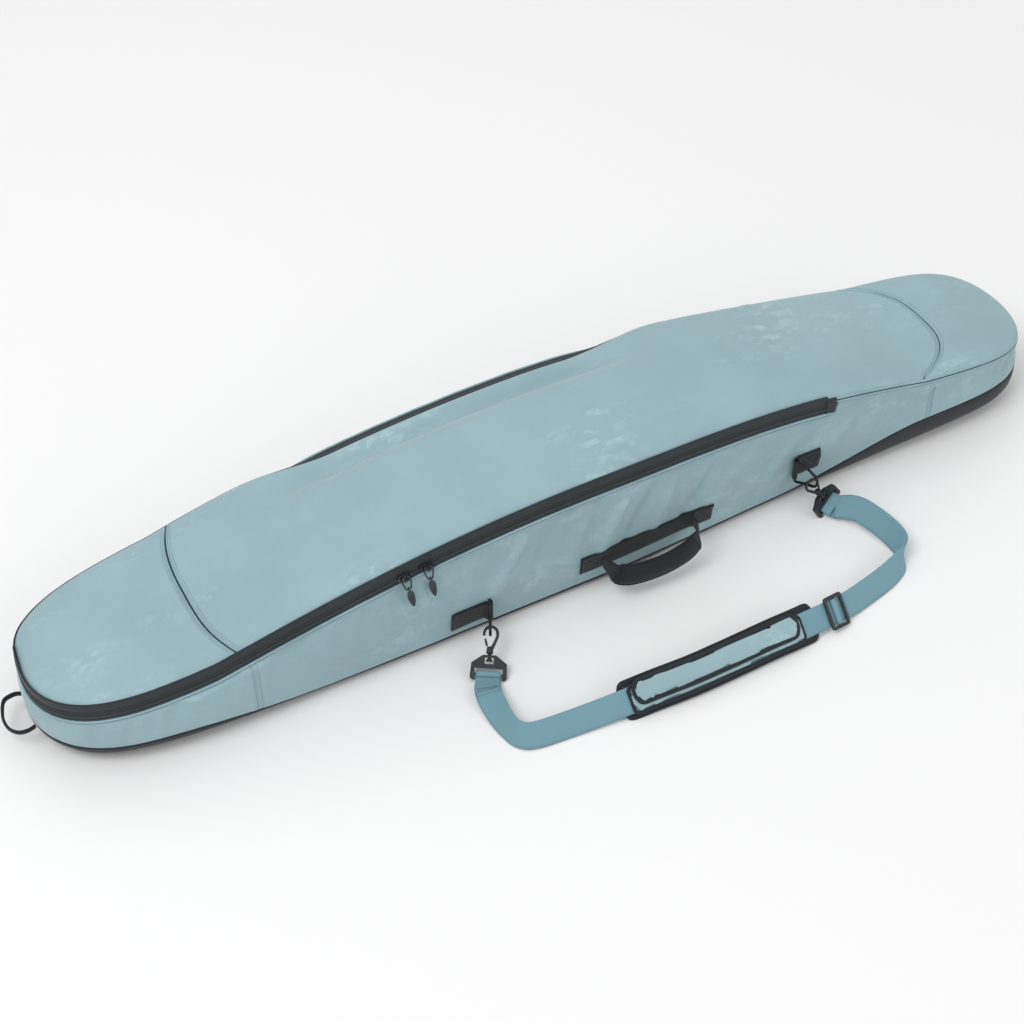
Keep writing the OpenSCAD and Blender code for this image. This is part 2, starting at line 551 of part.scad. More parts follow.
// three-bar adjuster and the webbing end sewn round its middle bar
adj_i = 51;
adj_t = unit(sp[adj_i + 1] - sp[adj_i - 1]);
adj_w = flat_to(sw[adj_i], adj_t);
module adjuster_frame() frame_at(sp[adj_i], adj_t, adj_w) children();
module adjuster() color(plastic) adjuster_frame() translate([0, 0, 2.8]) linear_extrude(3.4) difference() {
    offset(r = 3) square([29, 46], center = true);
    for (s = [-1, 1]) translate([s * 7.6, 0]) square([9.2, 42], center = true);
}
module adjuster_web() color(strap_teal) adjuster_frame() translate([0, 0, 4.5]) difference() {
    translate([-4.8, -web_w / 2, -3.2]) cube([9.6, web_w, 6.6]);
    translate([-3.3, -30, -1.9]) cube([6.6, 60, 3.8]);
}

base_panel();
base_wrap_nose();
base_wrap_tail();
base_mat();
wall_near();
wall_far();
wall_nose();
wall_tail();
wall_lining();
rim_piping();
tail_piping();
zip_tape_wall();
zip_tape_lid();
zip_coil_wall();
zip_coil_lid();
zip_end_near();
zip_end_far();
lid_nose_panel();
lid_centre_panel();
nose_seam_piping();
lid_lining();
tail_top_panel();
tail_cap_panel();
tail_seam_piping();
tail_lining();
slider_a();
link_a();
pull_a();
slider_b();
link_b();
pull_b();
handle_web();
handle_grip();
handle_sleeve();
nose_loop();
tab_left();
tab_right();
ring_left();
ring_right();
hook_left();
gate_left();
clip_base_left();
web_fold_left();
hook_right();
gate_right();
clip_base_right();
web_fold_right();
strap_web();
pad_back();
pad_flap_lower();
pad_flap_upper();
adjuster();
adjuster_web();
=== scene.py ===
"""Looks of the padded snowboard bag: fabrics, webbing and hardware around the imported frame."""
import math
import bpy
import bmesh
import numpy as np
from mathutils import Matrix, Vector


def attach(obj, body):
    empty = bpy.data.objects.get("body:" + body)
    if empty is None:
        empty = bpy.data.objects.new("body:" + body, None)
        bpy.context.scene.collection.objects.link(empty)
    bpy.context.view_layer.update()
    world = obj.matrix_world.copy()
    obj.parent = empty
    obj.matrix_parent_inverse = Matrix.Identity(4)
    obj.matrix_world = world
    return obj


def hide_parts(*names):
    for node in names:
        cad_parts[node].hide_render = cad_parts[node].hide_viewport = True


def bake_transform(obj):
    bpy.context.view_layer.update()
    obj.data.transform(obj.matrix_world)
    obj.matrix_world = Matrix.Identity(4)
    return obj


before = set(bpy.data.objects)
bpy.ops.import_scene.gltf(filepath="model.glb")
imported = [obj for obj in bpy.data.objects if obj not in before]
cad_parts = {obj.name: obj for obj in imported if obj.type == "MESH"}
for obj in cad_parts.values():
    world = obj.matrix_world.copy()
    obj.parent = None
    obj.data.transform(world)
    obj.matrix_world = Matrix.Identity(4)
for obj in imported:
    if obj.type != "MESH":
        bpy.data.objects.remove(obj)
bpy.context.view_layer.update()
MM = 0.001

# ---------------------------------------------------------------- camera
cam_data = bpy.data.cameras.new("camera")
cam = bpy.data.objects.new("camera", cam_data)
bpy.context.scene.collection.objects.link(cam)
cam_data.lens = 68.97
cam_data.sensor_width = 36.0
cam_data.clip_start = 0.05
cam_data.clip_end = 60.0
right = Vector((0.8853, -0.4649, -0.0075))
up = Vector((0.3423, 0.6407, 0.6872))
back = Vector((-0.3147, -0.6110, 0.7264))
cam.matrix_world = Matrix((
    (right.x, up.x, back.x, -1.031),
    (right.y, up.y, back.y, -1.860),
    (right.z, up.z, back.z, 2.276),
    (0, 0, 0, 1)))
bpy.context.scene.camera = cam

# ---------------------------------------------------------------- shape of the bag, in millimetres
HALF = 850.0
BAND = 30.0
ZIP_END = 415.0
WALL_T = 8.0
LID_T = 9.0


def mix(a, b, t):
    return a + (b - a) * t


def smooth(t):
    c = np.clip(t, 0, 1)
    return c * c * (3 - 2 * c)


def unit(v):
    v = np.asarray(v, float)
    return v / np.linalg.norm(v, axis=-1, keepdims=True)


def flat_to(v, s):
    v = np.asarray(v, float)
    return unit(v - s * (v @ s))


def power_of(x):
    return np.where(np.asarray(x) < 0, 10.5, 19.0)


def straight_w(x):
    return 139 - 17 * smooth(np.asarray(x) / 450)


def end_part(x):
    return (np.abs(x) / HALF) ** power_of(x)


def edge_w(x, f=1.0):
    return straight_w(x) * np.sqrt(np.maximum(0, f - end_part(x)))


def rim_pt(a):
    a = np.radians(a)
    x = HALF * np.cos(a)
    return np.stack([x, np.where(np.sin(a) >= 0, -1, 1) * edge_w(x)], -1)


def rim_n(a):
    t = unit(rim_pt(np.asarray(a) + 0.4) - rim_pt(np.asarray(a) - 0.4))
    return np.stack([-t[..., 1], t[..., 0]], -1)


def near_a(x):
    return np.degrees(np.arccos(np.asarray(x) / HALF))


def far_a(x):
    return 360 - near_a(x)


def rim_z(x):
    k = np.abs(x) / 610
    return 226 - 79 * np.where(k < 1, k * k, k)


def wrap_z(x):
    x = np.asarray(x, float)
    return np.where(x < 0, mix(12, 38, smooth((-x - 440) / 260)), mix(12, 62, smooth((x - 330) / 290)))


def foot_r(x):
    return mix(20, 40, smooth((np.abs(x) - 300) / 450))


def foot_in(x):
    return mix(10, 32, smooth((np.abs(x) - 300) / 450))


def wall_off(x, z):
    f = np.clip(z / (rim_z(x) - BAND), 0, 1)
    g = np.clip(z / foot_r(x), 0, 1)
    return 3 * f + 28 * f * (1 - f) - foot_in(x) * (1 - np.sqrt(np.maximum(0, 1 - (1 - g) ** 2)))


def wall_top(x):
    return rim_z(x) - mix(BAND + 1, 9, smooth((x - ZIP_END - 15) / 6))


def at(a, off, z):
    p, n = rim_pt(a), rim_n(a)
    return np.stack([p[..., 0] + n[..., 0] * off, p[..., 1] + n[..., 1] * off, z + 0 * p[..., 0]], -1)


def top_z(x, y):
    f = np.clip(end_part(x) + (y / straight_w(x)) ** 2, 0, 1)
    full = 1 - 0.6 * smooth((np.abs(x) - 250) / 350)
    return rim_z(x) + full * (17 * np.sqrt(1 - f ** 6) + 11 * (1 - f))


def hashed(i, j, seed):
    h = np.sin(i * 127.1 + j * 311.7 + seed * 74.7) * 43758.5453
    return h - np.floor(h)


def noise(u, v, seed=0):
    """Smooth value noise from -1 to 1."""
    u, v = np.broadcast_arrays(np.asarray(u, float), np.asarray(v, float))
    i, j = np.floor(u), np.floor(v)
    s, t = smooth(u - i), smooth(v - j)
    a = mix(hashed(i, j, seed), hashed(i + 1, j, seed), s)
    b = mix(hashed(i, j + 1, seed), hashed(i + 1, j + 1, seed), s)
    return 2 * mix(a, b, t) - 1


def fbm(u, v, seed=0):
    return (0.6 * noise(u, v, seed) + 0.28 * noise(2.1 * u, 2.1 * v, seed + 5)
            + 0.12 * noise(4.3 * u, 4.3 * v, seed + 9))


def ridge(u, v, seed=0):
    return 1 - 2 * np.abs(noise(u, v, seed)) ** 0.8


# folds in the near wall: from (x, z) to (x, z), depth, width
FOLDS = [(2, 82, 44, 168, 2.6, 9), (44, 84, 92, 172, -2.2, 8), (96, 84, 128, 168, 2.8, 8),
         (150, 84, 205, 158, -2.4, 9), (196, 78, 262, 140, 2.0, 10), (-60, 70, -20, 166, 1.8, 10),
         (-118, 60, -84, 160, -1.8, 11), (-186, 76, -128, 164, 2.4, 10), (-262, 74, -300, 150, 1.6, 12),
         (300, 70, 352, 132, 1.8, 9), (410, 84, 470, 132, 1.8, 8), (-420, 60, -470, 128, 1.4, 13)]


def wall_relief(x, z, near):
    """How far the wall fabric stands out or in from its smooth shape."""
    top = wall_top(x)
    d = np.maximum(0, top - z)
    side = np.where(near, 0.0, 40.0)
    r = 4.2 * fbm(x / 150 + side, z / 75, 3)
    r = r + (5.0 * np.exp(-d / 38) * ridge(x / 27 + d / 90 + side, d / 150, 7)
             * (0.35 + 0.65 * smooth(noise(x / 120 + side, 0.5, 2) + 0.6)))
    for x0, z0, x1, z1, deep, wide in FOLDS:
        ex, ez = x1 - x0, z1 - z0
        t = np.clip(((x - x0) * ex + (z - z0) * ez) / (ex * ex + ez * ez), 0, 1)
        q = np.hypot(x - x0 - ex * t, z - z0 - ez * t)
        r = r + (np.where(near, 3.0, 0) * deep * np.exp(-(q / wide) ** 2)
                 * (0.35 + 0.65 * np.sin(math.pi * (0.15 + 0.7 * t))))
    for c in (-558, 620):
        e = np.abs(x - c)
        r = r - 2.0 * np.exp(-(e / 3.2) ** 2) + 0.8 * np.exp(-((e - 9) / 5) ** 2)
    low = np.maximum(12, wrap_z(x))
    fade = smooth(d / 9) * smooth((z - low + 2) / 14) * smooth((HALF - np.abs(x)) / 60)
    seam = -1.6 * np.exp(-((z - low) / 2.6) ** 2) - 0.9 * np.exp(-(d / 2.2) ** 2)
    return r * fade + seam


def on_wall(a, z, lift):
    x = HALF * np.cos(np.radians(a))
    near = np.sin(np.radians(a)) >= 0
    return at(a, wall_off(x, z) + wall_relief(x, z, near) + lift, z)


def stations(a0, a1, step):
    """Angles from a0 to a1 that are evenly spaced along the rim."""
    a = np.linspace(a0, a1, 4000)
    p = rim_pt(a)
    s = np.concatenate([[0], np.cumsum(np.linalg.norm(np.diff(p, axis=0), axis=1))])
    n = max(2, int(round(s[-1] / step)))
    return np.interp(np.linspace(0, s[-1], n + 1), s, a), np.linspace(0, s[-1], n + 1)


def drape(p):
    """How the empty bag settles: the far zip band leans in over the middle of the bag while the wall
    below it bulges out, and the far corner of the nose stands forward."""
    p = np.array(p, float)
    x, y, z = p[:, 0], p[:, 1], p[:, 2]
    inside = (np.abs(x) < HALF + 20) & (y > 40)
    zr = z - rim_z(x)
    w = smooth((x + 480) / 170) * (1 - smooth((x - 80) / 170)) * inside
    inward = np.maximum(0, edge_w(np.clip(x, -HALF, HALF)) - y - 4)
    k = np.where(zr > -BAND - 2.2, 1 - smooth(inward / 95), 0)
    out = np.where(zr > -BAND - 2.2, k, 1 - smooth((-BAND - 2.2 - zr) / 90))
    turn = np.radians(55) * w
    dy, dz = y - (edge_w(np.clip(x, -HALF, HALF)) + 3), zr + BAND
    ny = dy * np.cos(turn) - dz * np.sin(turn)
    nz = dy * np.sin(turn) + dz * np.cos(turn)
    p[:, 1] += k * (ny - dy) + 11 * w * out
    p[:, 2] += k * (nz - dz) + 3 * w * out
    p[:, 0] -= 13 * smooth((-x - 640) / 190) * smooth((y - 15) / 75) * (np.abs(x) < 900)
    return p


# ---------------------------------------------------------------- mesh helpers
def make(name, verts, faces, mats, smooth_shade=True, uv=None, face_mat=None, weld=0.0):
    me = bpy.data.meshes.new(name)
    me.from_pydata([tuple(v) for v in drape(verts) * MM], [], faces)
    for m in mats:
        me.materials.append(m)
    if uv is not None:
        layer = me.uv_layers.new(name="uv")
        loops = np.zeros(len(me.loops), np.int32)
        me.loops.foreach_get("vertex_index", loops)
        layer.data.foreach_set("uv", np.asarray(uv, np.float32)[loops].ravel())
    if face_mat is not None:
        me.polygons.foreach_set("material_index", np.asarray(face_mat, np.int32))
    bm = bmesh.new()
    bm.from_mesh(me)
    if weld:
        bmesh.ops.remove_doubles(bm, verts=bm.verts, dist=weld * MM)
    bmesh.ops.recalc_face_normals(bm, faces=bm.faces)
    bm.to_mesh(me)
    bm.free()
    me.polygons.foreach_set("use_smooth", [smooth_shade] * len(me.polygons))
    me.update()
    obj = bpy.data.objects.new(name, me)
    bpy.context.scene.collection.objects.link(obj)
    return obj


def sweep(name, rings, mats, closed=False, uv=None, face_mat=None, weld=0.0, section_closed=True):
    """rings: (n, m, 3). Sections are closed loops; open sweeps get end caps."""
    rings = np.asarray(rings, float)
    n, m = rings.shape[:2]
    i = np.arange(n if closed else n - 1)
    j = np.arange(m if section_closed else m - 1)
    ii, jj = np.meshgrid(i, j, indexing="ij")
    a = ii * m + jj
    b = ii * m + (jj + 1) % m
    c = ((ii + 1) % n) * m + (jj + 1) % m
    d = ((ii + 1) % n) * m + jj
    faces = np.stack([a, b, c, d], -1).reshape(-1, 4).tolist()
    fm = None
    if face_mat is not None:
        fm = np.tile(np.asarray(face_mat), len(i)).tolist()
    if not closed and section_closed:
        faces.append(list(range(m))[::-1])
        faces.append([(n - 1) * m + k for k in range(m)])
        if fm is not None:
            fm += [0, 0]
    uvs = None if uv is None else np.asarray(uv, float).reshape(-1, 2)
    return make(name, rings.reshape(-1, 3), faces, mats, uv=uvs, face_mat=fm, weld=weld)


def patch(name, top, bottom, mats, under=0, uv=None):
    """A closed sheet between two equal grids; the lower side takes material number under."""
    top, bottom = np.asarray(top, float), np.asarray(bottom, float)
    n, m = top.shape[:2]
    o = n * m
    faces, fm = [], []
    for i in range(n - 1):
        for j in range(m - 1):
            a, b, c, d = i * m + j, i * m + j + 1, (i + 1) * m + j + 1, (i + 1) * m + j
            faces.append([a, b, c, d])
            fm.append(0)
            faces.append([o + d, o + c, o + b, o + a])
            fm.append(under)
    border = ([i * m for i in range(n)] + [(n - 1) * m + j for j in range(1, m)]
              + [i * m + m - 1 for i in range(n - 2, -1, -1)] + [j for j in range(m - 2, 0, -1)])
    for p, q in zip(border, border[1:] + border[:1]):
        faces.append([p, q, o + q, o + p])
        fm.append(0)
    uvs = None if uv is None else np.concatenate([np.reshape(uv, (-1, 2))] * 2)
    return make(name, np.concatenate([top.reshape(-1, 3), bottom.reshape(-1, 3)]), faces, mats, uv=uvs, face_mat=fm)


def catmull(p, n):
    p = np.asarray(p, float)
    out = []
    for i in range(len(p) - 1):
        a, b, c, d = p[max(0, i - 1)], p[i], p[i + 1], p[min(len(p) - 1, i + 2)]
        for k in range(n):
            t = k / n
            out.append(0.5 * (2 * b + (c - a) * t + (2 * a - 5 * b + 4 * c - d) * t * t
                              + (3 * b - a - 3 * c + d) * t ** 3))
    return np.array(out + [p[-1]])


def tangents(p, closed=False):
    if closed:
        return unit(np.roll(p, -1, 0) - np.roll(p, 1, 0))
    t = np.empty_like(p)
    t[1:-1] = p[2:] - p[:-2]
    t[0], t[-1] = p[1] - p[0], p[-1] - p[-2]
    return unit(t)


def lengths(p):
    return np.concatenate([[0], np.cumsum(np.linalg.norm(np.diff(p, axis=0), axis=1))])


def resample(p, step):
    p = np.asarray(p, float)
    s = lengths(p)
    n = max(2, int(round(s[-1] / step)))
    q = np.linspace(0, s[-1], n + 1)
    return np.stack([np.interp(q, s, p[:, k]) for k in range(p.shape[1])], -1)


def carried(t, first):
    """Side vectors carried along a line of tangents without twist."""
    out = [flat_to(first, t[0])]
    for k in range(1, len(t)):
        out.append(flat_to(out[-1], t[k]))
    return np.array(out)


def tube(name, pts, r, mat, sides=12, closed=False, first=(0, 0, 1), flat=1.0, round_ends=True):
    """A round or oval cord. r may be one number or one per point; flat squeezes it across the side vector."""
    pts = np.asarray(pts, float)
    t = tangents(pts, closed)
    u = carried(t, np.array(first, float))
    if closed:
        v0 = flat_to(u[-1], t[0])
        twist = math.atan2(np.cross(u[0], v0) @ t[0], u[0] @ v0)
        ang = -twist * np.arange(len(t)) / len(t)
        w = np.cross(t, u)
        u = u * np.cos(ang)[:, None] + w * np.sin(ang)[:, None]
    v = np.cross(t, u)
    r = np.broadcast_to(np.asarray(r, float), (len(pts),)).copy()
    if round_ends and not closed:
        e = r[0]
        pre = [(-0.95, 0.3), (-0.75, 0.66), (-0.4, 0.92)]
        pts = np.concatenate([[pts[0] + t[0] * e * (1 + k) for k, _ in pre], pts[1:-1],
                              [pts[-1] - t[-1] * e * (1 + k) for k, _ in pre[::-1]]])
        r = np.concatenate([[e * s for _, s in pre], r[1:-1], [r[-1] * s for _, s in pre[::-1]]])
        u = np.concatenate([[u[0]] * 3, u[1:-1], [u[-1]] * 3])
        v = np.concatenate([[v[0]] * 3, v[1:-1], [v[-1]] * 3])
    q = 2 * math.pi * (np.arange(sides) + 0.5) / sides
    ring = pts[:, None] + r[:, None, None] * (u[:, None] * np.cos(q)[None, :, None]
                                              + v[:, None] * np.sin(q)[None, :, None] * flat)
    s = lengths(pts)
    uv = np.stack(np.broadcast_arrays((s * MM)[:, None], (q / 6.283)[None, :] * 0.02), -1)
    return sweep(name, ring, [mat], closed=closed, uv=uv)


def ribbon(name, pts, wide, width, thick, mat, lift=0.0, crown=0.0, edge=0.45, cols=9):
    """Webbing along pts: width vectors, a soft rounded edge, UV in metres along and across."""
    pts = np.asarray(pts, float)
    t = tangents(pts)
    w = np.array([flat_to(wide[k], t[k]) for k in range(len(pts))])
    n = np.cross(t, w)
    width = np.broadcast_to(np.asarray(width, float), (len(pts),))
    thick = np.broadcast_to(np.asarray(thick, float), (len(pts),))
    c = np.linspace(-1, 1, cols)
    h = thick[:, None] / 2 * np.where(np.abs(c) > 0.99, edge, 1.0)[None, :]
    mid = crown * (1 - c * c)[None, :] + lift
    across = pts[:, None] + w[:, None] * (c[None, :] * width[:, None] / 2)[..., None]
    up_, dn = across + n[:, None] * (mid + h)[..., None], across + n[:, None] * (mid - h)[..., None]
    rings = np.concatenate([up_, dn[:, ::-1]], 1)
    s = lengths(pts) * MM
    cu = c[None, :] * width[:, None] / 2 * MM
    uv = np.stack([np.broadcast_to(s[:, None], rings.shape[:2]), np.concatenate([cu, cu[:, ::-1]], 1)], -1)
    return sweep(name, rings, [mat], uv=uv)


def stitches(name, pts, nrm, mat, pitch=4.2, size=3.0, r=0.42, lift=0.15):
    """A sewn line: one small arched thread per stitch, laid on the surface with normals nrm."""
    pts, nrm = np.asarray(pts, float), np.asarray(nrm, float)
    s = lengths(pts)
    n = max(1, int(s[-1] / pitch))
    q = (np.arange(n) + 0.5) * s[-1] / n
    c = np.stack([np.interp(q, s, pts[:, k]) for k in range(3)], -1)
    d = unit(np.stack([np.interp(q + 0.8, s, pts[:, k]) - np.interp(q - 0.8, s, pts[:, k]) for k in range(3)], -1))
    m = unit(np.stack([np.interp(q, s, nrm[:, k]) for k in range(3)], -1))
    m = unit(m - d * (m * d).sum(1, keepdims=True))
    b = np.cross(d, m)
    along = np.array([-0.5, -0.36, 0, 0.36, 0.5]) * size
    rise = np.array([-0.55, 0.15, 0.35, 0.15, -0.55]) * r + lift
    rad = np.array([0.45, 0.95, 1.0, 0.95, 0.45]) * r
    q6 = 2 * math.pi * np.arange(6) / 6
    P = (c[:, None, None] + d[:, None, None] * along[None, :, None, None]
         + m[:, None, None] * (rise[None, :, None] + rad[None, :, None] * np.cos(q6))[..., None]
         + b[:, None, None] * (rad[None, :, None] * np.sin(q6))[..., None])
    verts = P.reshape(-1, 3)
    faces = []
    for k in range(n):
        o = k * 30
        for i in range(4):
            for j in range(6):
                faces.append([o + i * 6 + j, o + i * 6 + (j + 1) % 6,
                              o + (i + 1) * 6 + (j + 1) % 6, o + (i + 1) * 6 + j])
        faces.append([o + j for j in range(5, -1, -1)])
        faces.append([o + 24 + j for j in range(6)])
    return make(name, verts, faces, [mat])


def frame_matrix(o, a, b):
    """Local frame at point o (mm) with unit axes a, b and a x b."""
    a, b = unit(a), unit(b)
    c = np.cross(a, b)
    return np.array([[a[0], b[0], c[0], o[0]], [a[1], b[1], c[1], o[1]], [a[2], b[2], c[2], o[2]], [0, 0, 0, 1]])


def placed(obj, m):
    """Moves a mesh made in millimetres-as-metres by the frame m."""
    k = Matrix([list(r) for r in m])
    k.translation = Vector([v * MM for v in (m[0][3], m[1][3], m[2][3])])
    obj.data.transform(k)
    return obj


def plate(name, loops, z0, z1, bevel, mat):
    """A flat part with rounded edges: first loop is the outline, the rest are holes (mm)."""
    cu = bpy.data.curves.new(name, "CURVE")
    cu.dimensions = "2D"
    cu.fill_mode = "BOTH"
    for loop in loops:
        sp_ = cu.splines.new("POLY")
        sp_.points.add(len(loop) - 1)
        for p, q in zip(sp_.points, loop):
            p.co = (q[0] * MM, q[1] * MM, 0, 1)
        sp_.use_cyclic_u = True
    cu.extrude = ((z1 - z0) / 2 - bevel) * MM
    cu.bevel_depth = bevel * MM
    cu.bevel_resolution = 2
    cu.offset = -bevel * MM
    tmp = bpy.data.objects.new(name, cu)
    bpy.context.scene.collection.objects.link(tmp)
    me = bpy.data.meshes.new_from_object(tmp.evaluated_get(bpy.context.evaluated_depsgraph_get()))
    bpy.data.objects.remove(tmp)
    me.name = name
    me.transform(Matrix.Translation((0, 0, (z0 + z1) / 2 * MM)))
    bm = bmesh.new()
    bm.from_mesh(me)
    bmesh.ops.remove_doubles(bm, verts=bm.verts, dist=0.00002)
    bmesh.ops.recalc_face_normals(bm, faces=bm.faces)
    bm.to_mesh(me)
    bm.free()
    me.materials.clear()
    me.materials.append(mat)
    for p in me.polygons:
        p.use_smooth = False
        p.material_index = 0
    obj = bpy.data.objects.new(name, me)
    bpy.context.scene.collection.objects.link(obj)
    shade(obj, 38)
    return obj


def shade(obj, angle):
    """Smooth shading up to an angle; sharper edges stay crisp."""
    me = obj.data
    bm = bmesh.new()
    bm.from_mesh(me)
    for f in bm.faces:
        f.smooth = True
    for e in bm.edges:
        e.smooth = len(e.link_faces) == 2 and e.calc_face_angle(0) < math.radians(angle)
    bm.to_mesh(me)
    bm.free()


def joined(name, objs):
    """Several meshes as one piece."""
    bm = bmesh.new()
    mats = []
    for o in objs:
        for m in o.data.materials:
            if m not in mats:
                mats.append(m)
    for o in objs:
        me = o.data
        base = len(bm.faces)
        bm.from_mesh(me)
        bm.faces.ensure_lookup_table()
        own = list(me.materials)
        for f in bm.faces[base:]:
            f.material_index = mats.index(own[f.material_index])
    me = bpy.data.meshes.new(name)
    bm.to_mesh(me)
    bm.free()
    for m in mats:
        me.materials.append(m)
    for o in objs:
        bpy.data.objects.remove(o)
    obj = bpy.data.objects.new(name, me)
    bpy.context.scene.collection.objects.link(obj)
    return obj


def finish(obj, body, slot, *nodes):
    """The piece rides on its body and stands for its nodes; slot is not used."""
    if body:
        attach(obj, body)
    if nodes:
        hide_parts(*nodes)
    return obj


# ---------------------------------------------------------------- materials
class Nodes:
    """Small helper to write a node material in a few lines."""

    def __init__(self, name):
        self.mat = bpy.data.materials.new(name)
        self.mat.use_nodes = True
        self.tree = self.mat.node_tree
        self.tree.nodes.clear()
        self.out = self.tree.nodes.new("ShaderNodeOutputMaterial")
        self.bsdf = self.tree.nodes.new("ShaderNodeBsdfPrincipled")
        self.tree.links.new(self.bsdf.outputs[0], self.out.inputs[0])
        self.coord = self.tree.nodes.new("ShaderNodeTexCoord").outputs["Object"]

    def add(self, kind, **props):
        n = self.tree.nodes.new(kind)
        for k, v in props.items():
            setattr(n, k, v)
        return n

    def link(self, a, b):
        self.tree.links.new(a, b)

    def uv(self):
        return self.add("ShaderNodeUVMap", uv_map="uv").outputs[0]

    def mapping(self, vec, scale=(1, 1, 1), rot=(0, 0, 0), loc=(0, 0, 0)):
        n = self.add("ShaderNodeMapping")
        self.link(vec, n.inputs["Vector"])
        n.inputs["Scale"].default_value = scale
        n.inputs["Rotation"].default_value = rot
        n.inputs["Location"].default_value = loc
        return n.outputs[0]

    def noise(self, vec, scale, detail=2.0, rough=0.5):
        n = self.add("ShaderNodeTexNoise")
        self.link(vec, n.inputs["Vector"])
        n.inputs["Scale"].default_value = scale
        n.inputs["Detail"].default_value = detail
        n.inputs["Roughness"].default_value = rough
        return n.outputs["Fac"]

    def wave(self, vec, scale, axis="X", distortion=0.0):
        n = self.add("ShaderNodeTexWave", bands_direction=axis)
        self.link(vec, n.inputs["Vector"])
        n.inputs["Scale"].default_value = scale
        n.inputs["Distortion"].default_value = distortion
        return n.outputs["Fac"]

    def math(self, op, a, b=None, clamp=False):
        n = self.add("ShaderNodeMath", operation=op, use_clamp=clamp)
        for s, v in zip(n.inputs, (a, b)):
            if v is None:
                continue
            if isinstance(v, (int, float)):
                s.default_value = v
            else:
                self.link(v, s)
        return n.outputs[0]

    def ramp(self, fac, stops):
        n = self.add("ShaderNodeValToRGB")
        self.link(fac, n.inputs[0])
        e = n.color_ramp.elements
        e[0].position, e[0].color = stops[0][0], self.rgba(stops[0][1])
        e[1].position, e[1].color = stops[-1][0], self.rgba(stops[-1][1])
        for p, c in stops[1:-1]:
            e.new(p).color = self.rgba(c)
        return n.outputs[0]

    @staticmethod
    def rgba(c):
        return (c, c, c, 1) if isinstance(c, (int, float)) else (*c, 1)

    def mixed(self, fac, a, b, blend="MIX"):
        n = self.add("ShaderNodeMix", data_type="RGBA", blend_type=blend)
        sockets = [s for s in n.inputs if s.enabled]
        for s, v in zip(sockets, (fac, a, b)):
            if isinstance(v, (int, float)) and s.type == "VALUE":
                s.default_value = v
            elif isinstance(v, (int, float, tuple)):
                s.default_value = self.rgba(v)
            else:
                self.link(v, s)
        return [s for s in n.outputs if s.enabled][0]

    def bump(self, height, strength, distance, before=None):
        n = self.add("ShaderNodeBump")
        self.link(height, n.inputs["Height"])
        n.inputs["Strength"].default_value = strength
        n.inputs["Distance"].default_value = distance
        if before is not None:
            self.link(before, n.inputs["Normal"])
        return n.outputs[0]

    def set(self, color=None, rough=None, normal=None, **fixed):
        for key, v in (("Base Color", color), ("Roughness", rough), ("Normal", normal)):
            if v is None:
                continue
            s = self.bsdf.inputs[key]
            if isinstance(v, (int, float)):
                s.default_value = v
            elif isinstance(v, tuple):
                s.default_value = self.rgba(v)
            else:
                self.link(v, s)
        names = {"metal": "Metallic", "sheen": "Sheen Weight", "sheen_rough": "Sheen Roughness",
                 "spec": "Specular IOR Level", "coat": "Coat Weight"}
        for k, v in fixed.items():
            self.bsdf.inputs[names[k]].default_value = v
        return self.mat


def lin(r, g, b):
    """sRGB 0-255 to linear."""
    f = lambda c: c / 255 / 12.92 if c <= 10 else ((c / 255 + 0.055) / 1.055) ** 2.4
    return (f(r), f(g), f(b))


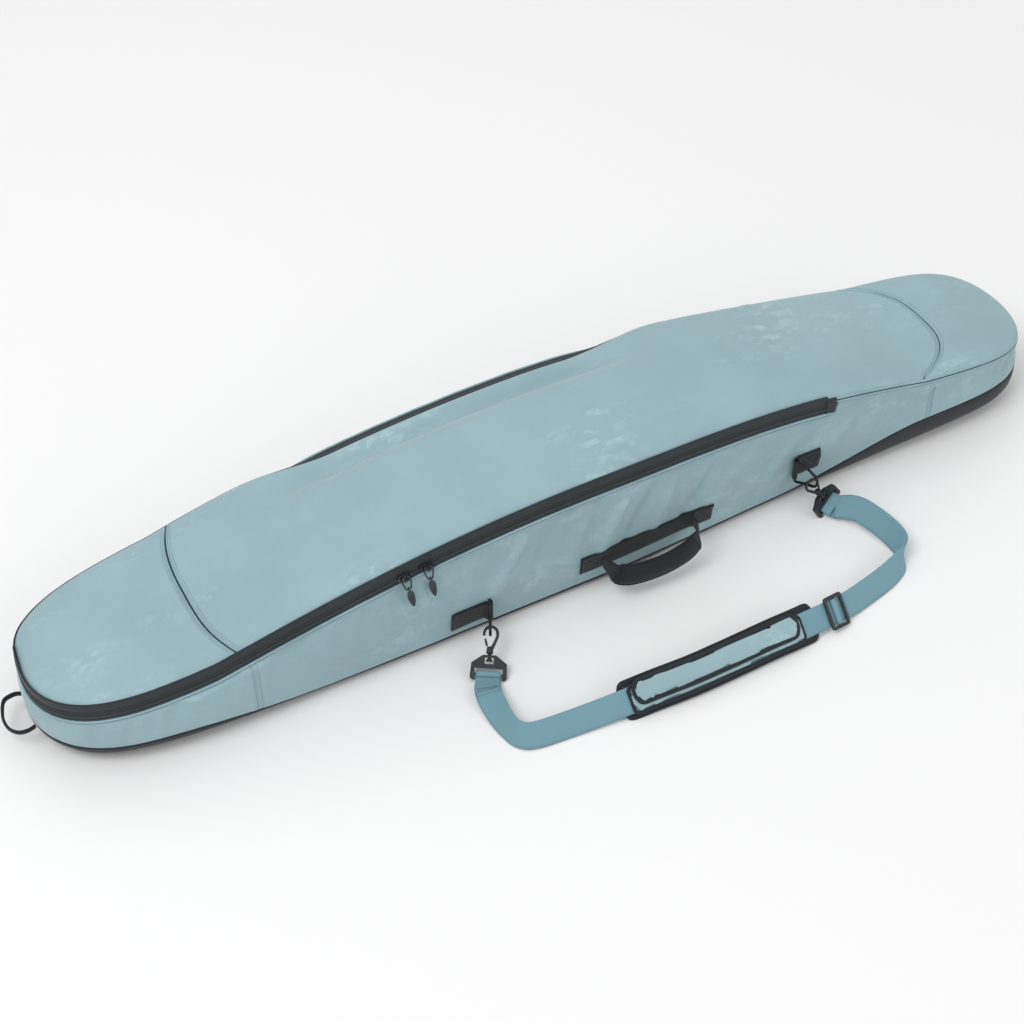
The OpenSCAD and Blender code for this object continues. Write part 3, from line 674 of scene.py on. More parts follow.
def shell_cloth(name, base, printed=True, weave=1100.0, var=0.05, rough=0.62, sheen=0.25, vec=None):
    """Coated ripstop-like shell cloth: fine weave, slight melange, soft tonal shard print."""
    k = Nodes(name)
    v = k.coord if vec is None else vec(k)
    flecks = k.noise(k.mapping(v, (1, 1, 1)), 900, 1.0, 0.6)
    clouds = k.noise(v, 7, 3.0, 0.55)
    dark = tuple(c * (1 - var) for c in base)
    light = tuple(min(1, c * (1 + var) + 0.004) for c in base)
    col = k.mixed(k.ramp(clouds, [(0.35, 0.0), (0.65, 1.0)]), dark, light)
    col = k.mixed(k.math("MULTIPLY", flecks, 0.22), col, tuple(c * 0.80 for c in base))
    if printed:
        warp = k.noise(k.mapping(v, (1, 1, 1), loc=(3, 1, 0)), 16, 2.0, 0.6)
        warped = k.add("ShaderNodeVectorMath", operation="MULTIPLY_ADD")
        k.link(warp, warped.inputs[0])
        warped.inputs[1].default_value = (0.03, -0.035, 0.02)
        k.link(k.mapping(v, (0.9, 1.9, 1.5), rot=(0.3, 0.2, 0.7)), warped.inputs[2])
        pick = k.add("ShaderNodeTexVoronoi", feature="F1", distance="MANHATTAN")
        k.link(warped.outputs[0], pick.inputs["Vector"])
        pick.inputs["Scale"].default_value = 52
        sep = k.add("ShaderNodeSeparateColor")
        k.link(pick.outputs["Color"], sep.inputs[0])
        some = k.math("GREATER_THAN", sep.outputs[0], 0.58)
        line = k.ramp(sep.outputs[1], [(0.0, 0.3), (1.0, 1.0)])
        zone = k.ramp(k.noise(k.mapping(v, (1.0, 2.4, 1.6), loc=(0.4, 0, 0)), 4.2, 2.5, 0.6),
                      [(0.50, 0.0), (0.66, 1.0)])
        worn = k.ramp(k.noise(v, 120, 2.0, 0.6), [(0.35, 0.25), (0.6, 1.0)])
        shard = k.math("MULTIPLY", k.math("MULTIPLY", line, some), k.math("MULTIPLY", zone, worn))
        pale = tuple(min(1, c * 1.22 + 0.07) for c in base)
        col = k.mixed(k.math("MULTIPLY", shard, 0.7), col, pale)
    a = k.wave(k.mapping(v, rot=(0, 0, 0.0)), weave / 20, "X")
    b = k.wave(k.mapping(v, rot=(0, 0, 0.0)), weave / 20, "DIAGONAL")
    weave_h = k.math("ADD", k.math("MULTIPLY", a, 0.5), k.math("MULTIPLY", b, 0.5))
    n1 = k.bump(k.noise(v, 42, 3.0, 0.6), 0.22, 0.0035)
    n2 = k.bump(weave_h, 0.16, 0.00035, n1)
    n3 = k.bump(flecks, 0.18, 0.0004, n2)
    r = k.ramp(k.noise(v, 30, 2.0, 0.5), [(0.3, rough - 0.06), (0.7, rough + 0.06)])
    return k.set(col, r, n3, sheen=sheen, sheen_rough=0.45, spec=0.35)


def webbing(name, base, rough=0.72, rib=1900.0, twill=True, sheen=0.35):
    """Woven tape: ribs across and fine herringbone rows along."""
    k = Nodes(name)
    uv = k.uv()
    sep = k.add("ShaderNodeSeparateXYZ")
    k.link(uv, sep.inputs[0])
    rows = k.wave(k.mapping(uv, (1, 1, 1)), rib / 10, "Y")
    picks = k.wave(k.mapping(uv, (1, 1, 1), rot=(0, 0, 0.62 if twill else 0.0)), rib / 8, "X")
    yarn = k.math("MULTIPLY", rows, picks)
    var = k.noise(k.mapping(uv, (14, 90, 1)), 3.0, 3.0, 0.6)
    fuzz = k.noise(k.coord, 1400, 1.0, 0.6)
    dark = tuple(c * 0.88 for c in base)
    light = tuple(min(1, c * 1.08 + 0.002) for c in base)
    col = k.mixed(k.ramp(yarn, [(0.0, 0.0), (0.7, 1.0)]), dark, light)
    col = k.mixed(k.math("MULTIPLY", var, 0.35), col, tuple(c * 0.86 for c in base))
    n1 = k.bump(yarn, 0.45, 0.0005)
    n2 = k.bump(fuzz, 0.15, 0.0003, n1)
    r = k.ramp(var, [(0.3, rough - 0.05), (0.7, rough + 0.06)])
    return k.set(col, r, n2, sheen=sheen, sheen_rough=0.5, spec=0.3)


def dull_cloth(name, base, scale=900.0, rough=0.8, sheen=0.4):
    """Plain dense weave for tapes, bindings and black panels."""
    k = Nodes(name)
    v = k.coord
    fine = k.noise(v, scale, 1.0, 0.6)
    slow = k.noise(v, 11, 3.0, 0.6)
    col = k.mixed(k.ramp(slow, [(0.35, 0.0), (0.7, 1.0)]), tuple(c * 0.86 for c in base),
                  tuple(min(1, c * 1.18 + 0.002) for c in base))
    col = k.mixed(k.math("MULTIPLY", fine, 0.3), col, tuple(min(1, c * 1.5 + 0.01) for c in base))
    a = k.wave(v, scale / 18, "X")
    b = k.wave(v, scale / 18, "Z")
    n1 = k.bump(k.math("ADD", a, b), 0.2, 0.0003)
    n2 = k.bump(fine, 0.3, 0.0005, n1)
    n3 = k.bump(slow, 0.15, 0.002, n2)
    r = k.ramp(slow, [(0.3, rough - 0.06), (0.7, min(1, rough + 0.05))])
    return k.set(col, r, n3, sheen=sheen, sheen_rough=0.5, spec=0.3)


def moulded(name, base, rough=0.42, grain=260.0, coat=0.0):
    """Moulded nylon with a fine spark texture and lighter patches at random."""
    k = Nodes(name)
    v = k.coord
    g = k.noise(v, grain * 10, 2.0, 0.6)
    s = k.noise(v, 60, 3.0, 0.6)
    col = k.mixed(k.ramp(s, [(0.4, 0.0), (0.75, 1.0)]), base, tuple(min(1, c * 1.35 + 0.004) for c in base))
    n1 = k.bump(g, 0.12, 0.0002)
    r = k.ramp(s, [(0.3, rough - 0.06), (0.7, rough + 0.1)])
    return k.set(col, r, n1, spec=0.5, coat=coat)


def dark_metal(name, base, rough=0.34):
    """Dark nickel plating: fine scratches and small bright rubs."""
    k = Nodes(name)
    v = k.coord
    scr = k.noise(k.mapping(v, (1, 1, 14), rot=(0.4, 0.8, 0.1)), 700, 2.0, 0.6)
    rub = k.noise(v, 240, 2.0, 0.6)
    col = k.mixed(k.ramp(rub, [(0.5, 0.0), (0.72, 1.0)]), base, tuple(min(1, c * 2.1 + 0.02) for c in base))
    r = k.ramp(scr, [(0.3, rough - 0.08), (0.7, rough + 0.12)])
    return k.set(col, r, k.bump(scr, 0.06, 0.0002), metal=1.0)


TEAL = lin(142, 171, 177)
M_SHELL = shell_cloth("shell_print", TEAL)
M_PIPE = dull_cloth("piping_cloth", lin(134, 166, 172), 1200, 0.6, 0.3)
# painted shadow: a darkened piping teal for the thin cords laid in the shaded gaps beside the piping
M_PIPE_SHADOW = dull_cloth("piping_shadow", lin(36, 56, 62), 1200, 0.7, 0.2)
M_BASE = dull_cloth("base_cloth", lin(27, 30, 37), 700, 0.74, 0.12)
M_LINER = dull_cloth("liner_cloth", lin(92, 96, 102), 500, 0.6, 0.3)
M_MAT = dull_cloth("mat_cloth", lin(84, 88, 94), 420, 0.7, 0.3)
M_TAPE = dull_cloth("zip_tape", lin(36, 42, 46), 1100, 0.8, 0.12)
M_COIL = moulded("zip_coil", lin(20, 23, 26), 0.4)
M_BLACKWEB = webbing("black_webbing", lin(29, 32, 37), 0.78, sheen=0.12)
M_STRAP = webbing("strap_webbing", lin(114, 155, 168), 0.66, rib=1900.0, sheen=0.2)
M_BIND = dull_cloth("binding", lin(30, 34, 39), 800, 0.8, 0.12)
M_PLASTIC = moulded("black_nylon", lin(22, 25, 28), 0.40)
M_PULL = moulded("pull_plastic", lin(40, 43, 46), 0.34, coat=0.2)
M_METAL = dark_metal("dark_nickel", lin(64, 66, 70))
M_RING = dark_metal("ring_black", lin(44, 46, 50), 0.42)
M_THREAD = dull_cloth("thread_teal", lin(112, 150, 158), 2200, 0.6, 0.3)
M_THREAD_DARK = dull_cloth("thread_black", lin(26, 29, 33), 2200, 0.6, 0.3)
M_THREAD_GREY = dull_cloth("thread_grey", lin(70, 76, 84), 2200, 0.6, 0.3)


# ---------------------------------------------------------------- base and walls
A_ALL = stations(0.0, 360.0, 5.0)[0][:-1]
X_ALL = HALF * np.cos(np.radians(A_ALL))
LOW_ALL = np.maximum(12.0, wrap_z(X_ALL))
TOP_ALL = wall_top(X_ALL)


def column(a, zs, lifts):
    """Points on the wall at every station of a, for rows of heights zs (rows, stations)."""
    return np.stack([on_wall(a, z, l) for z, l in zip(zs, lifts)], 1)


def flat_rows(a, z0, off, ks):
    """Rows on a level from the foot of the wall to the middle line."""
    p = at(a, off, np.full(len(a), z0))
    out = []
    for k in ks:
        q = p.copy()
        q[:, 1] *= k
        out.append(q)
    return out


foot_off = wall_off(X_ALL, np.zeros(len(X_ALL)))
heights = [0.02, 0.06, 0.13, 0.24, 0.38, 0.54, 0.70, 0.84, 0.93, 0.985]
outer = column(A_ALL, [LOW_ALL * h for h in heights] + [LOW_ALL + 0.4], [0.0] * 11)
inner = column(A_ALL, [LOW_ALL - 1.0, LOW_ALL * 0.6, np.full(len(A_ALL), 5.5)], [-5.0, -5.5, -6.0])
ks = [0.0, 0.15, 0.3, 0.45, 0.6, 0.75, 0.88, 0.96, 1.0]
under = np.stack(flat_rows(A_ALL, 0.0, foot_off, ks), 1)
floor_rows = np.stack(flat_rows(A_ALL, 5.0, foot_off - 2, ks[::-1]), 1)
base = sweep("base_shell", np.concatenate([under, outer, inner, floor_rows], 1), [M_BASE], closed=True,
             weld=0.05, section_closed=False)
finish(base, "bag", "base_cloth", "base_panel", "base_wrap_nose", "base_wrap_tail")

sew = [on_wall(A_ALL, LOW_ALL - d, 0.1) for d in (3.2,)]
nrm_all = np.concatenate([rim_n(A_ALL), np.zeros((len(A_ALL), 1))], 1)
st = [stitches("stitch_base_%d" % i, np.concatenate([q, q[:1]]), np.concatenate([nrm_all, nrm_all[:1]]),
               M_THREAD_GREY, 5.0, 3.4, 0.4) for i, q in enumerate(sew)]
finish(st[0], "bag", "base_cloth")

# the mat lies inside on the base, quilted lightly
mat_off = wall_off(X_ALL, np.full(len(X_ALL), 8.0)) - 10.6
kq = [0.0, 0.1, 0.2, 0.3, 0.4, 0.5, 0.6, 0.7, 0.8, 0.88, 0.94, 0.98, 1.0]
rows_top = flat_rows(A_ALL, 11.2, mat_off, kq[::-1])
for q in rows_top:
    q[:, 2] += 0.5 * np.abs(np.sin(q[:, 0] / 26)) ** 0.5 * (1 - np.abs(q[:, 1] / 140) ** 4) - 0.3
rows_low = flat_rows(A_ALL, 5.6, mat_off, kq)
lip = [at(A_ALL, mat_off + 0.8, np.full(len(A_ALL), z)) for z in (7.2, 9.8)]
mat = sweep("base_mat_board", np.stack(rows_low + lip + rows_top, 1), [M_MAT], closed=True, weld=0.05,
            section_closed=False)
finish(mat, "bag", "mat_board", "base_mat")

wall_rows = [0.0, 0.012, 0.035, 0.07, 0.115, 0.165, 0.22, 0.28, 0.34, 0.40, 0.46, 0.52, 0.58, 0.64, 0.69, 0.74,
             0.785, 0.825, 0.86, 0.89, 0.915, 0.94, 0.96, 0.98, 1.0]
zs = [mix(LOW_ALL + 0.6, TOP_ALL, r) for r in wall_rows]
outer = column(A_ALL, zs, [0.0] * len(zs))
inz = [mix(LOW_ALL + 0.6, TOP_ALL, r) for r in (1.0, 0.8, 0.6, 0.4, 0.2, 0.0)]
inner = np.stack([at(A_ALL, wall_off(X_ALL, z) - WALL_T, z) for z in inz], 1)
wall = sweep("wall_shell", np.concatenate([outer, inner], 1), [M_SHELL], closed=True)
finish(wall, "bag", "shell_print", "wall_near", "wall_far", "wall_nose", "wall_tail")

lz = [mix(12.6 + 0 * X_ALL, TOP_ALL - 1.5, r) for r in (0.0, 0.12, 0.25, 0.38, 0.5, 0.62, 0.75, 0.88, 1.0)]
soft = [0.9 * fbm(X_ALL / 60 + np.sign(np.sin(np.radians(A_ALL))) * 9, z / 40, 21) for z in lz]
lin_out = np.stack([at(A_ALL, wall_off(X_ALL, z) - WALL_T - 0.5, z) for z in lz], 1)
lin_in = np.stack([at(A_ALL, wall_off(X_ALL, z) - WALL_T - 2.2 - np.abs(s), z) for z, s in zip(lz, soft)], 1)
lining = sweep("wall_lining_cloth", np.concatenate([lin_out, lin_in[:, ::-1]], 1), [M_LINER], closed=True)
finish(lining, "bag", "liner_cloth", "wall_lining")

# vertical seams in the wall: two sewn rows beside each
seams = []
for c in (-558.0, 620.0):
    for angle in (near_a, far_a):
        for d in (-4.2, 4.2):
            x = c + d
            a = angle(x)
            z = np.linspace(float(np.maximum(12, wrap_z(x))) + 3, float(wall_top(x)) - 3, 60)
            q = on_wall(np.full(60, a), z, 0.1)
            n = np.repeat(np.append(rim_n(a), 0)[None], 60, 0)
            seams.append(stitches("s", q, n, M_THREAD, 4.6, 3.2, 0.4))
finish(joined("stitch_wall_seams", seams), "bag", "shell_print")

# ---------------------------------------------------------------- zip band
A_ZIP, _ = stations(float(near_a(ZIP_END - 1)), float(far_a(ZIP_END - 1)), 4.0)
A_ZIPL, _ = stations(float(near_a(ZIP_END - 12)), float(far_a(ZIP_END - 12)), 4.0)


def band_strip(name, a, prof, mat, far_top=99.0):
    """prof: list of (offset, height over the rim) going round the section; far_top caps it on the far side."""
    z = rim_z(HALF * np.cos(np.radians(a)))
    far = (np.asarray(a) > 190) & (np.asarray(a) < 360)
    rings = np.stack([at(a, np.where(far & (dz > far_top), min(o, 1.9), o), z + np.where(far, min(dz, far_top), dz))
                      for o, dz in prof], 1)
    s = lengths(rings[:, 0]) * MM
    v = np.cumsum([0] + [math.dist(prof[k], prof[k - 1]) for k in range(1, len(prof))]) * MM
    uv = np.stack(np.broadcast_arrays(s[:, None], v[None, :]), -1)
    return sweep(name, rings, [mat], uv=uv)


low_prof = [(2.0, -27.2), (3.1, -26.6), (3.7, -25.2), (3.9, -24.0), (3.3, -23.2), (3.5, -21.0), (3.5, -19.4),
            (4.2, -18.8), (4.4, -18.0), (4.4, -16.6), (4.1, -15.4), (3.4, -14.6), (2.2, -14.6), (1.4, -18.0),
            (1.2, -24.0)]
zip_low = band_strip("zip_tape_lower", A_ZIP, low_prof, M_TAPE)
finish(zip_low, "bag", "zip_tape", "zip_tape_wall")
up_prof = [(1.9, -13.4), (3.4, -13.4), (4.1, -12.6), (4.3, -11.2), (4.2, -9.8), (3.5, -9.2), (3.2, -7.6),
           (3.0, -5.2), (3.2, -4.2), (3.5, -3.2), (3.4, -1.9), (3.4, 2.0), (3.3, 5.2), (2.6, 7.2), (1.4, 7.4),
           (0.9, 1.0),
           (0.9, -6.0)]
A_LID, _ = stations(float(near_a(ZIP_END - 2)), float(far_a(ZIP_END - 2)), 4.0)
zip_up = band_strip("zip_tape_upper", A_LID, up_prof, M_TAPE, far_top=1.8)
finish(zip_up, "lid", "zip_tape", "zip_tape_lid")


def coil_teeth(name, a, dz):
    """One side of the coil: small ribs on a cord, every 1.6 mm."""
    q, _ = stations(a[0], a[-1], 0.8)
    z = rim_z(HALF * np.cos(np.radians(q))) - 14 + dz
    p = at(q, 4.15, z)
    k = np.arange(len(q)) % 2
    r = np.where(k == 0, 0.95, 0.62)
    return tube(name, p, r, M_COIL, sides=6, flat=0.8)


finish(coil_teeth("zip_coil_lower", A_ZIPL, -1.05), "bag", "coil", "zip_coil_wall")
finish(coil_teeth("zip_coil_upper", A_ZIPL, 1.05), "lid", "coil", "zip_coil_lid")

for side, angle, node in (("near", near_a, "zip_end_near"), ("far", far_a, "zip_end_far")):
    a0, a1 = float(angle(ZIP_END + 14.5)), float(angle(ZIP_END - 3))
    a = np.linspace(a0, a1, 14)
    prof = [(1.0, -27.4), (4.6, -27.2), (5.0, -26.4), (5.0, -17.0), (5.0, -9.0), (4.8, -1.0), (4.2, 1.4), (1.0, 1.8)]
    piece = band_strip("zip_end_patch_" + side, a, prof, M_TAPE)
    rows = []
    x = HALF * np.cos(np.radians(a))
    for dz in (-25.0, -10.0):
        out_dir = np.tile(np.append(rim_n(float(angle(ZIP_END + 6))), 0), (len(a), 1))
        rows.append(stitches("s", at(a, 5.05, rim_z(x) + dz), out_dir, M_THREAD_GREY, 3.0, 2.2, 0.3))
    joined_piece = joined("zip_end_patch_" + side, [piece] + rows)
    finish(joined_piece, "bag", "zip_tape", node)

# rim piping under the zip, and the double piping of the fixed tail top; the thin dark cords under the rim piping and
# between the tail cords are painted shadow
a, _ = stations(float(near_a(ZIP_END + 8)), float(far_a(ZIP_END + 8)), 4.0)
x = HALF * np.cos(np.radians(a))
wob = 0.25 * noise(x / 23 + np.sign(np.sin(np.radians(a))) * 50, 0.5, 4)
rim_pipe = joined("rim_piping_cord", [tube("p", at(a, 4.0 + wob, rim_z(x) - BAND + 0.9), 1.9, M_PIPE, 10),
                                      tube("p", at(a, 3.6 + wob, rim_z(x) - BAND - 1.7), 1.1, M_PIPE_SHADOW, 8)])
finish(rim_pipe, "bag", "piping", "rim_piping")
a, _ = stations(float(far_a(ZIP_END + 16)) - 360, float(near_a(ZIP_END + 16)), 4.0)
x = HALF * np.cos(np.radians(a))
pipes = [tube("p", at(a, 2.3, rim_z(x) - 6.9), 2.1, M_PIPE, 10),
         tube("p", at(a, 1.3, rim_z(x) - 1.6), 2.1, M_PIPE, 10),
         tube("p", at(a, 2.2, rim_z(x) - 4.25), 1.2, M_PIPE_SHADOW, 8)]
finish(joined("tail_piping_cords", pipes), "bag", "piping", "tail_piping")


# ---------------------------------------------------------------- lid and tail top
def top_relief(x, y):
    """Soft waves, pulls beside the zip and the seams."""
    w = straight_w(x)
    e = (1 - np.clip(end_part(x) + (y / w) ** 2, 0, 1)) * w / 2
    r = 2.2 * fbm(x / 230, y / 95 + 3, 11) + 0.8 * fbm(x / 70, y / 45, 12)
    r = r + 0.9 * np.exp(-e / 16) * ridge(x / 24 + np.sign(y) * 30, y / 160, 13) * smooth(e / 5)
    for c, bend in ((-603, 26), (690, -88)):
        t = np.clip(y / np.maximum(1, edge_w(x)), -1, 1)
        d = np.abs(x - c - bend * np.abs(t) ** 3)
        r = r + 0.8 * np.exp(-((d - 14) / 9) ** 2) * (1 + 0.8 * noise(y / 19, c, 14)) - 2.4 * np.exp(-(d / 3.6) ** 2)
    return r * smooth(e / 9)


def lid_height(x, y):
    return top_z(x, y) + top_relief(x, y)


U = np.sin(np.radians(np.linspace(-90, 90, 75)))


def surface(x, y):
    """Point on the top; the rolled edge is pushed outward a little."""
    f = np.clip(end_part(x) + (y / straight_w(x)) ** 2, 0, 1)
    z = lid_height(x, y)
    return np.stack([x, y * (1 + 0.012 * smooth((f - 0.9) / 0.1)), z], -1)


def span(x0, b0, x1, b1, n):
    k = np.linspace(0, 1, n + 1)[:, None]
    t = U[None, :]
    x = mix(x0 + b0 * np.abs(t) ** 3, x1 + b1 * np.abs(t) ** 3, k)
    return x, t * edge_w(x)


def cap(x0, b0, xr, s, n):
    tip = s * HALF
    k = (np.linspace(0, 1, n + 1) ** 0.9)[:, None]
    t = U[None, :]
    c = np.arccos(xr / tip)
    x2 = tip * np.cos(c * np.arcsin(t) / (math.pi / 2))
    x1 = x0 + b0 * np.abs(t) ** 3
    y1, y2 = t * edge_w(x1), np.sign(t) * edge_w(x2)
    return mix(x1, x2, k), mix(y1, y2, k)


def padded_top(name, x, y, mats, thick=LID_T - 1.2):
    """Panel with its padding: the lower face is inset and rises near the edges."""
    top = surface(x, y)
    f = np.clip(end_part(x) + (y / straight_w(x)) ** 2, 0, 1)
    low = top.copy()
    low[..., 1] *= 0.99
    low[..., 2] -= thick * (1 - 0.6 * smooth((f - 0.8) / 0.2))
    return patch(name, top, low, mats)


x, y = span(-601.5, 26, 688.5, -88, 250)
main = padded_top("top_main", x, y, [M_SHELL])
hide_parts("lid_centre_panel", "tail_top_panel")
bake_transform(main)
x, y = cap(-604.5, 26, -606, -1, 60)
nose = padded_top("top_nose", x, y, [M_SHELL])
finish(nose, "lid", "shell_print", "lid_nose_panel")
x, y = cap(691.5, -88, 620, 1, 60)
tail = padded_top("top_tail_cap", x, y, [M_SHELL])
finish(tail, "bag", "shell_print", "tail_cap_panel")


def seam_line(c, bend, n=120):
    t = np.sin(np.radians(np.linspace(-86, 86, n)))
    x = c + bend * np.abs(t) ** 3
    y = t * edge_w(x)
    return x, y


def seam_cords(name, c, bend):
    """Two rows of piping with a dark cord between them: painted shadow in the channel."""
    parts = []
    for d, m, r in ((-2.6, M_PIPE, 1.35), (0.0, M_PIPE_SHADOW, 1.0), (2.6, M_PIPE, 1.35)):
        x, y = seam_line(c + d, bend)
        parts.append(tube("c", np.stack([x, y, lid_height(x, y) + (0.3 if d else 0.9)], -1), r, m, 8))
    for d in (-7.5, 7.5):
        x, y = seam_line(c + d, bend)
        q = np.stack([x, y, lid_height(x, y) + 0.1], -1)
        parts.append(stitches("s", q, np.repeat([[0, 0, 1.0]], len(q), 0), M_THREAD, 4.6, 3.2, 0.38))
    return joined(name, parts)


finish(seam_cords("nose_seam_cords", -603, 26), "lid", "piping", "nose_seam_piping")
finish(seam_cords("tail_seam_cords", 690, -88), "bag", "piping", "tail_seam_piping")


def liner_top(name, x, y):
    top = np.stack([x, y * 0.94, top_z(x, y * 0.94) - LID_T - 1.0], -1)
    low = top.copy()
    low[..., 2] -= 1.4 + 0.8 * np.abs(fbm(x / 55, y / 55, 23))
    return patch(name, top, low, [M_LINER])


x, y = cap(ZIP_END - 7, 0, -606, -1, 150)
x = np.maximum(x, -HALF * 0.985)
finish(liner_top("lid_lining_cloth", x, y * 0.985), "lid", "liner_cloth", "lid_lining")
x, y = cap(ZIP_END + 7, 0, 620, 1, 60)
x = np.minimum(x, HALF * 0.99)
finish(liner_top("tail_lining_cloth", x, y * 0.985), "bag", "liner_cloth", "tail_lining")

# ---------------------------------------------------------------- cloth helpers
def cloth_band(name, grid, thick, mat, edge=0.5):
    """Webbing through a grid of middle points (n along, m across), with soft edges."""
    g = np.asarray(grid, float)
    t = np.gradient(g, axis=0)
    w = np.gradient(g, axis=1)
    nn = unit(np.cross(t, w))
    m = g.shape[1]
    h = np.full(m, thick / 2)
    h[0] = h[-1] = thick / 2 * edge
    rings = np.concatenate([g + nn * h[None, :, None], (g - nn * h[None, :, None])[:, ::-1]], 1)
    s = lengths(g[:, m // 2])
    c = lengths(g[0])
    uv = np.stack([np.broadcast_to(s[:, None], rings.shape[:2]),
                   np.broadcast_to(np.concatenate([c, c[::-1]])[None, :], rings.shape[:2])], -1) * MM
    return sweep(name, rings, [mat], uv=uv)


def wall_grid(x0, x1, z0, z1, lift, n, m=9):
    a = np.asarray(near_a(np.linspace(x0, x1, n)))
    return np.stack([on_wall(a, z, lift) for z in np.linspace(z0, z1, m)], 1)


def box_x(x0, x1, z0, z1, lift, mat):
    """A sewn rectangle with its two diagonals on the near wall."""
    out = []
    for p, q in (((x0, z0), (x1, z0)), ((x1, z0), (x1, z1)), ((x1, z1), (x0, z1)), ((x0, z1), (x0, z0)),
                 ((x0, z0), (x1, z1)), ((x0, z1), (x1, z0))):
        t = np.linspace(0, 1, 24)
        a = np.asarray(near_a(mix(p[0], q[0], t)))
        z = mix(p[1], q[1], t)
        pts = np.stack([on_wall(a[k:k + 1], z[k], lift)[0] for k in range(24)])
        nr = rim_n(a)
        out.append(stitches("st", pts, np.concatenate([nr, np.zeros((24, 1))], 1), mat, pitch=3.4, size=2.7, r=0.36))
    return out


def stuffed(obj, voxel, pressure, swell):
    """Cloth under a little inside pressure: the skin fills out and wrinkles, never further than swell (mm)."""
    before = obj.data.copy()
    rm = obj.modifiers.new("remesh", "REMESH")
    rm.mode = "VOXEL"
    rm.voxel_size = voxel * MM
    bpy.context.view_layer.update()
    me = bpy.data.meshes.new_from_object(obj.evaluated_get(bpy.context.evaluated_depsgraph_get()))
    obj.modifiers.clear()
    mats = list(before.materials)
    me.materials.clear()
    for m in mats:
        me.materials.append(m)
    obj.data = me
    start = np.zeros(len(me.vertices) * 3)
    me.vertices.foreach_get("co", start)
    c = obj.modifiers.new("cloth", "CLOTH")
    s = c.settings
    s.quality = 6
    s.use_pressure = True
    s.uniform_pressure_force = pressure
    s.effector_weights.gravity = 0
    s.tension_stiffness = s.compression_stiffness = 12
    s.shear_stiffness = 6
    s.bending_stiffness = 0.4
    c.collision_settings.use_self_collision = False
    c.point_cache.frame_start, c.point_cache.frame_end = 1, 20
    scene = bpy.context.scene
    for f in range(1, 21):
        scene.frame_set(f)
        bpy.context.view_layer.update()
    ev = obj.evaluated_get(bpy.context.evaluated_depsgraph_get())
    got = bpy.data.meshes.new_from_object(ev)
    end = np.zeros(len(got.vertices) * 3)
    got.vertices.foreach_get("co", end)
    obj.modifiers.clear()
    scene.frame_set(1)
    d = (end - start).reshape(-1, 3)
    d = np.nan_to_num(d)
    size = np.linalg.norm(d, axis=1, keepdims=True) + 1e-12
    d = d * np.minimum(1, swell * MM / size)
    me.vertices.foreach_set("co", (start.reshape(-1, 3) + d).ravel())
    bpy.data.meshes.remove(got)
    sub = obj.modifiers.new("sub", "SUBSURF")
    sub.levels = sub.render_levels = 1
    out = bpy.data.meshes.new_from_object(obj.evaluated_get(bpy.context.evaluated_depsgraph_get()))
    obj.modifiers.clear()
    obj.data = out
    for p in out.polygons:
        p.use_smooth = True
        p.material_index = 0
    return obj


# ---------------------------------------------------------------- zip sliders
SLIDER_X = {"a": -321.0, "b": -286.0}


def slider_axes(x):
    a = float(near_a(x))
    p = at(a + 0.6, 0, rim_z(rim_pt(a + 0.6)[0]))
    q = at(a - 0.6, 0, rim_z(rim_pt(a - 0.6)[0]))
    t = unit(q - p)
    n = np.append(rim_n(a), 0)
    u = unit(np.cross(n, t))
    u = u if u[2] > 0 else -u
    return at(a, 4.7, rim_z(x) - 14), t, u, n


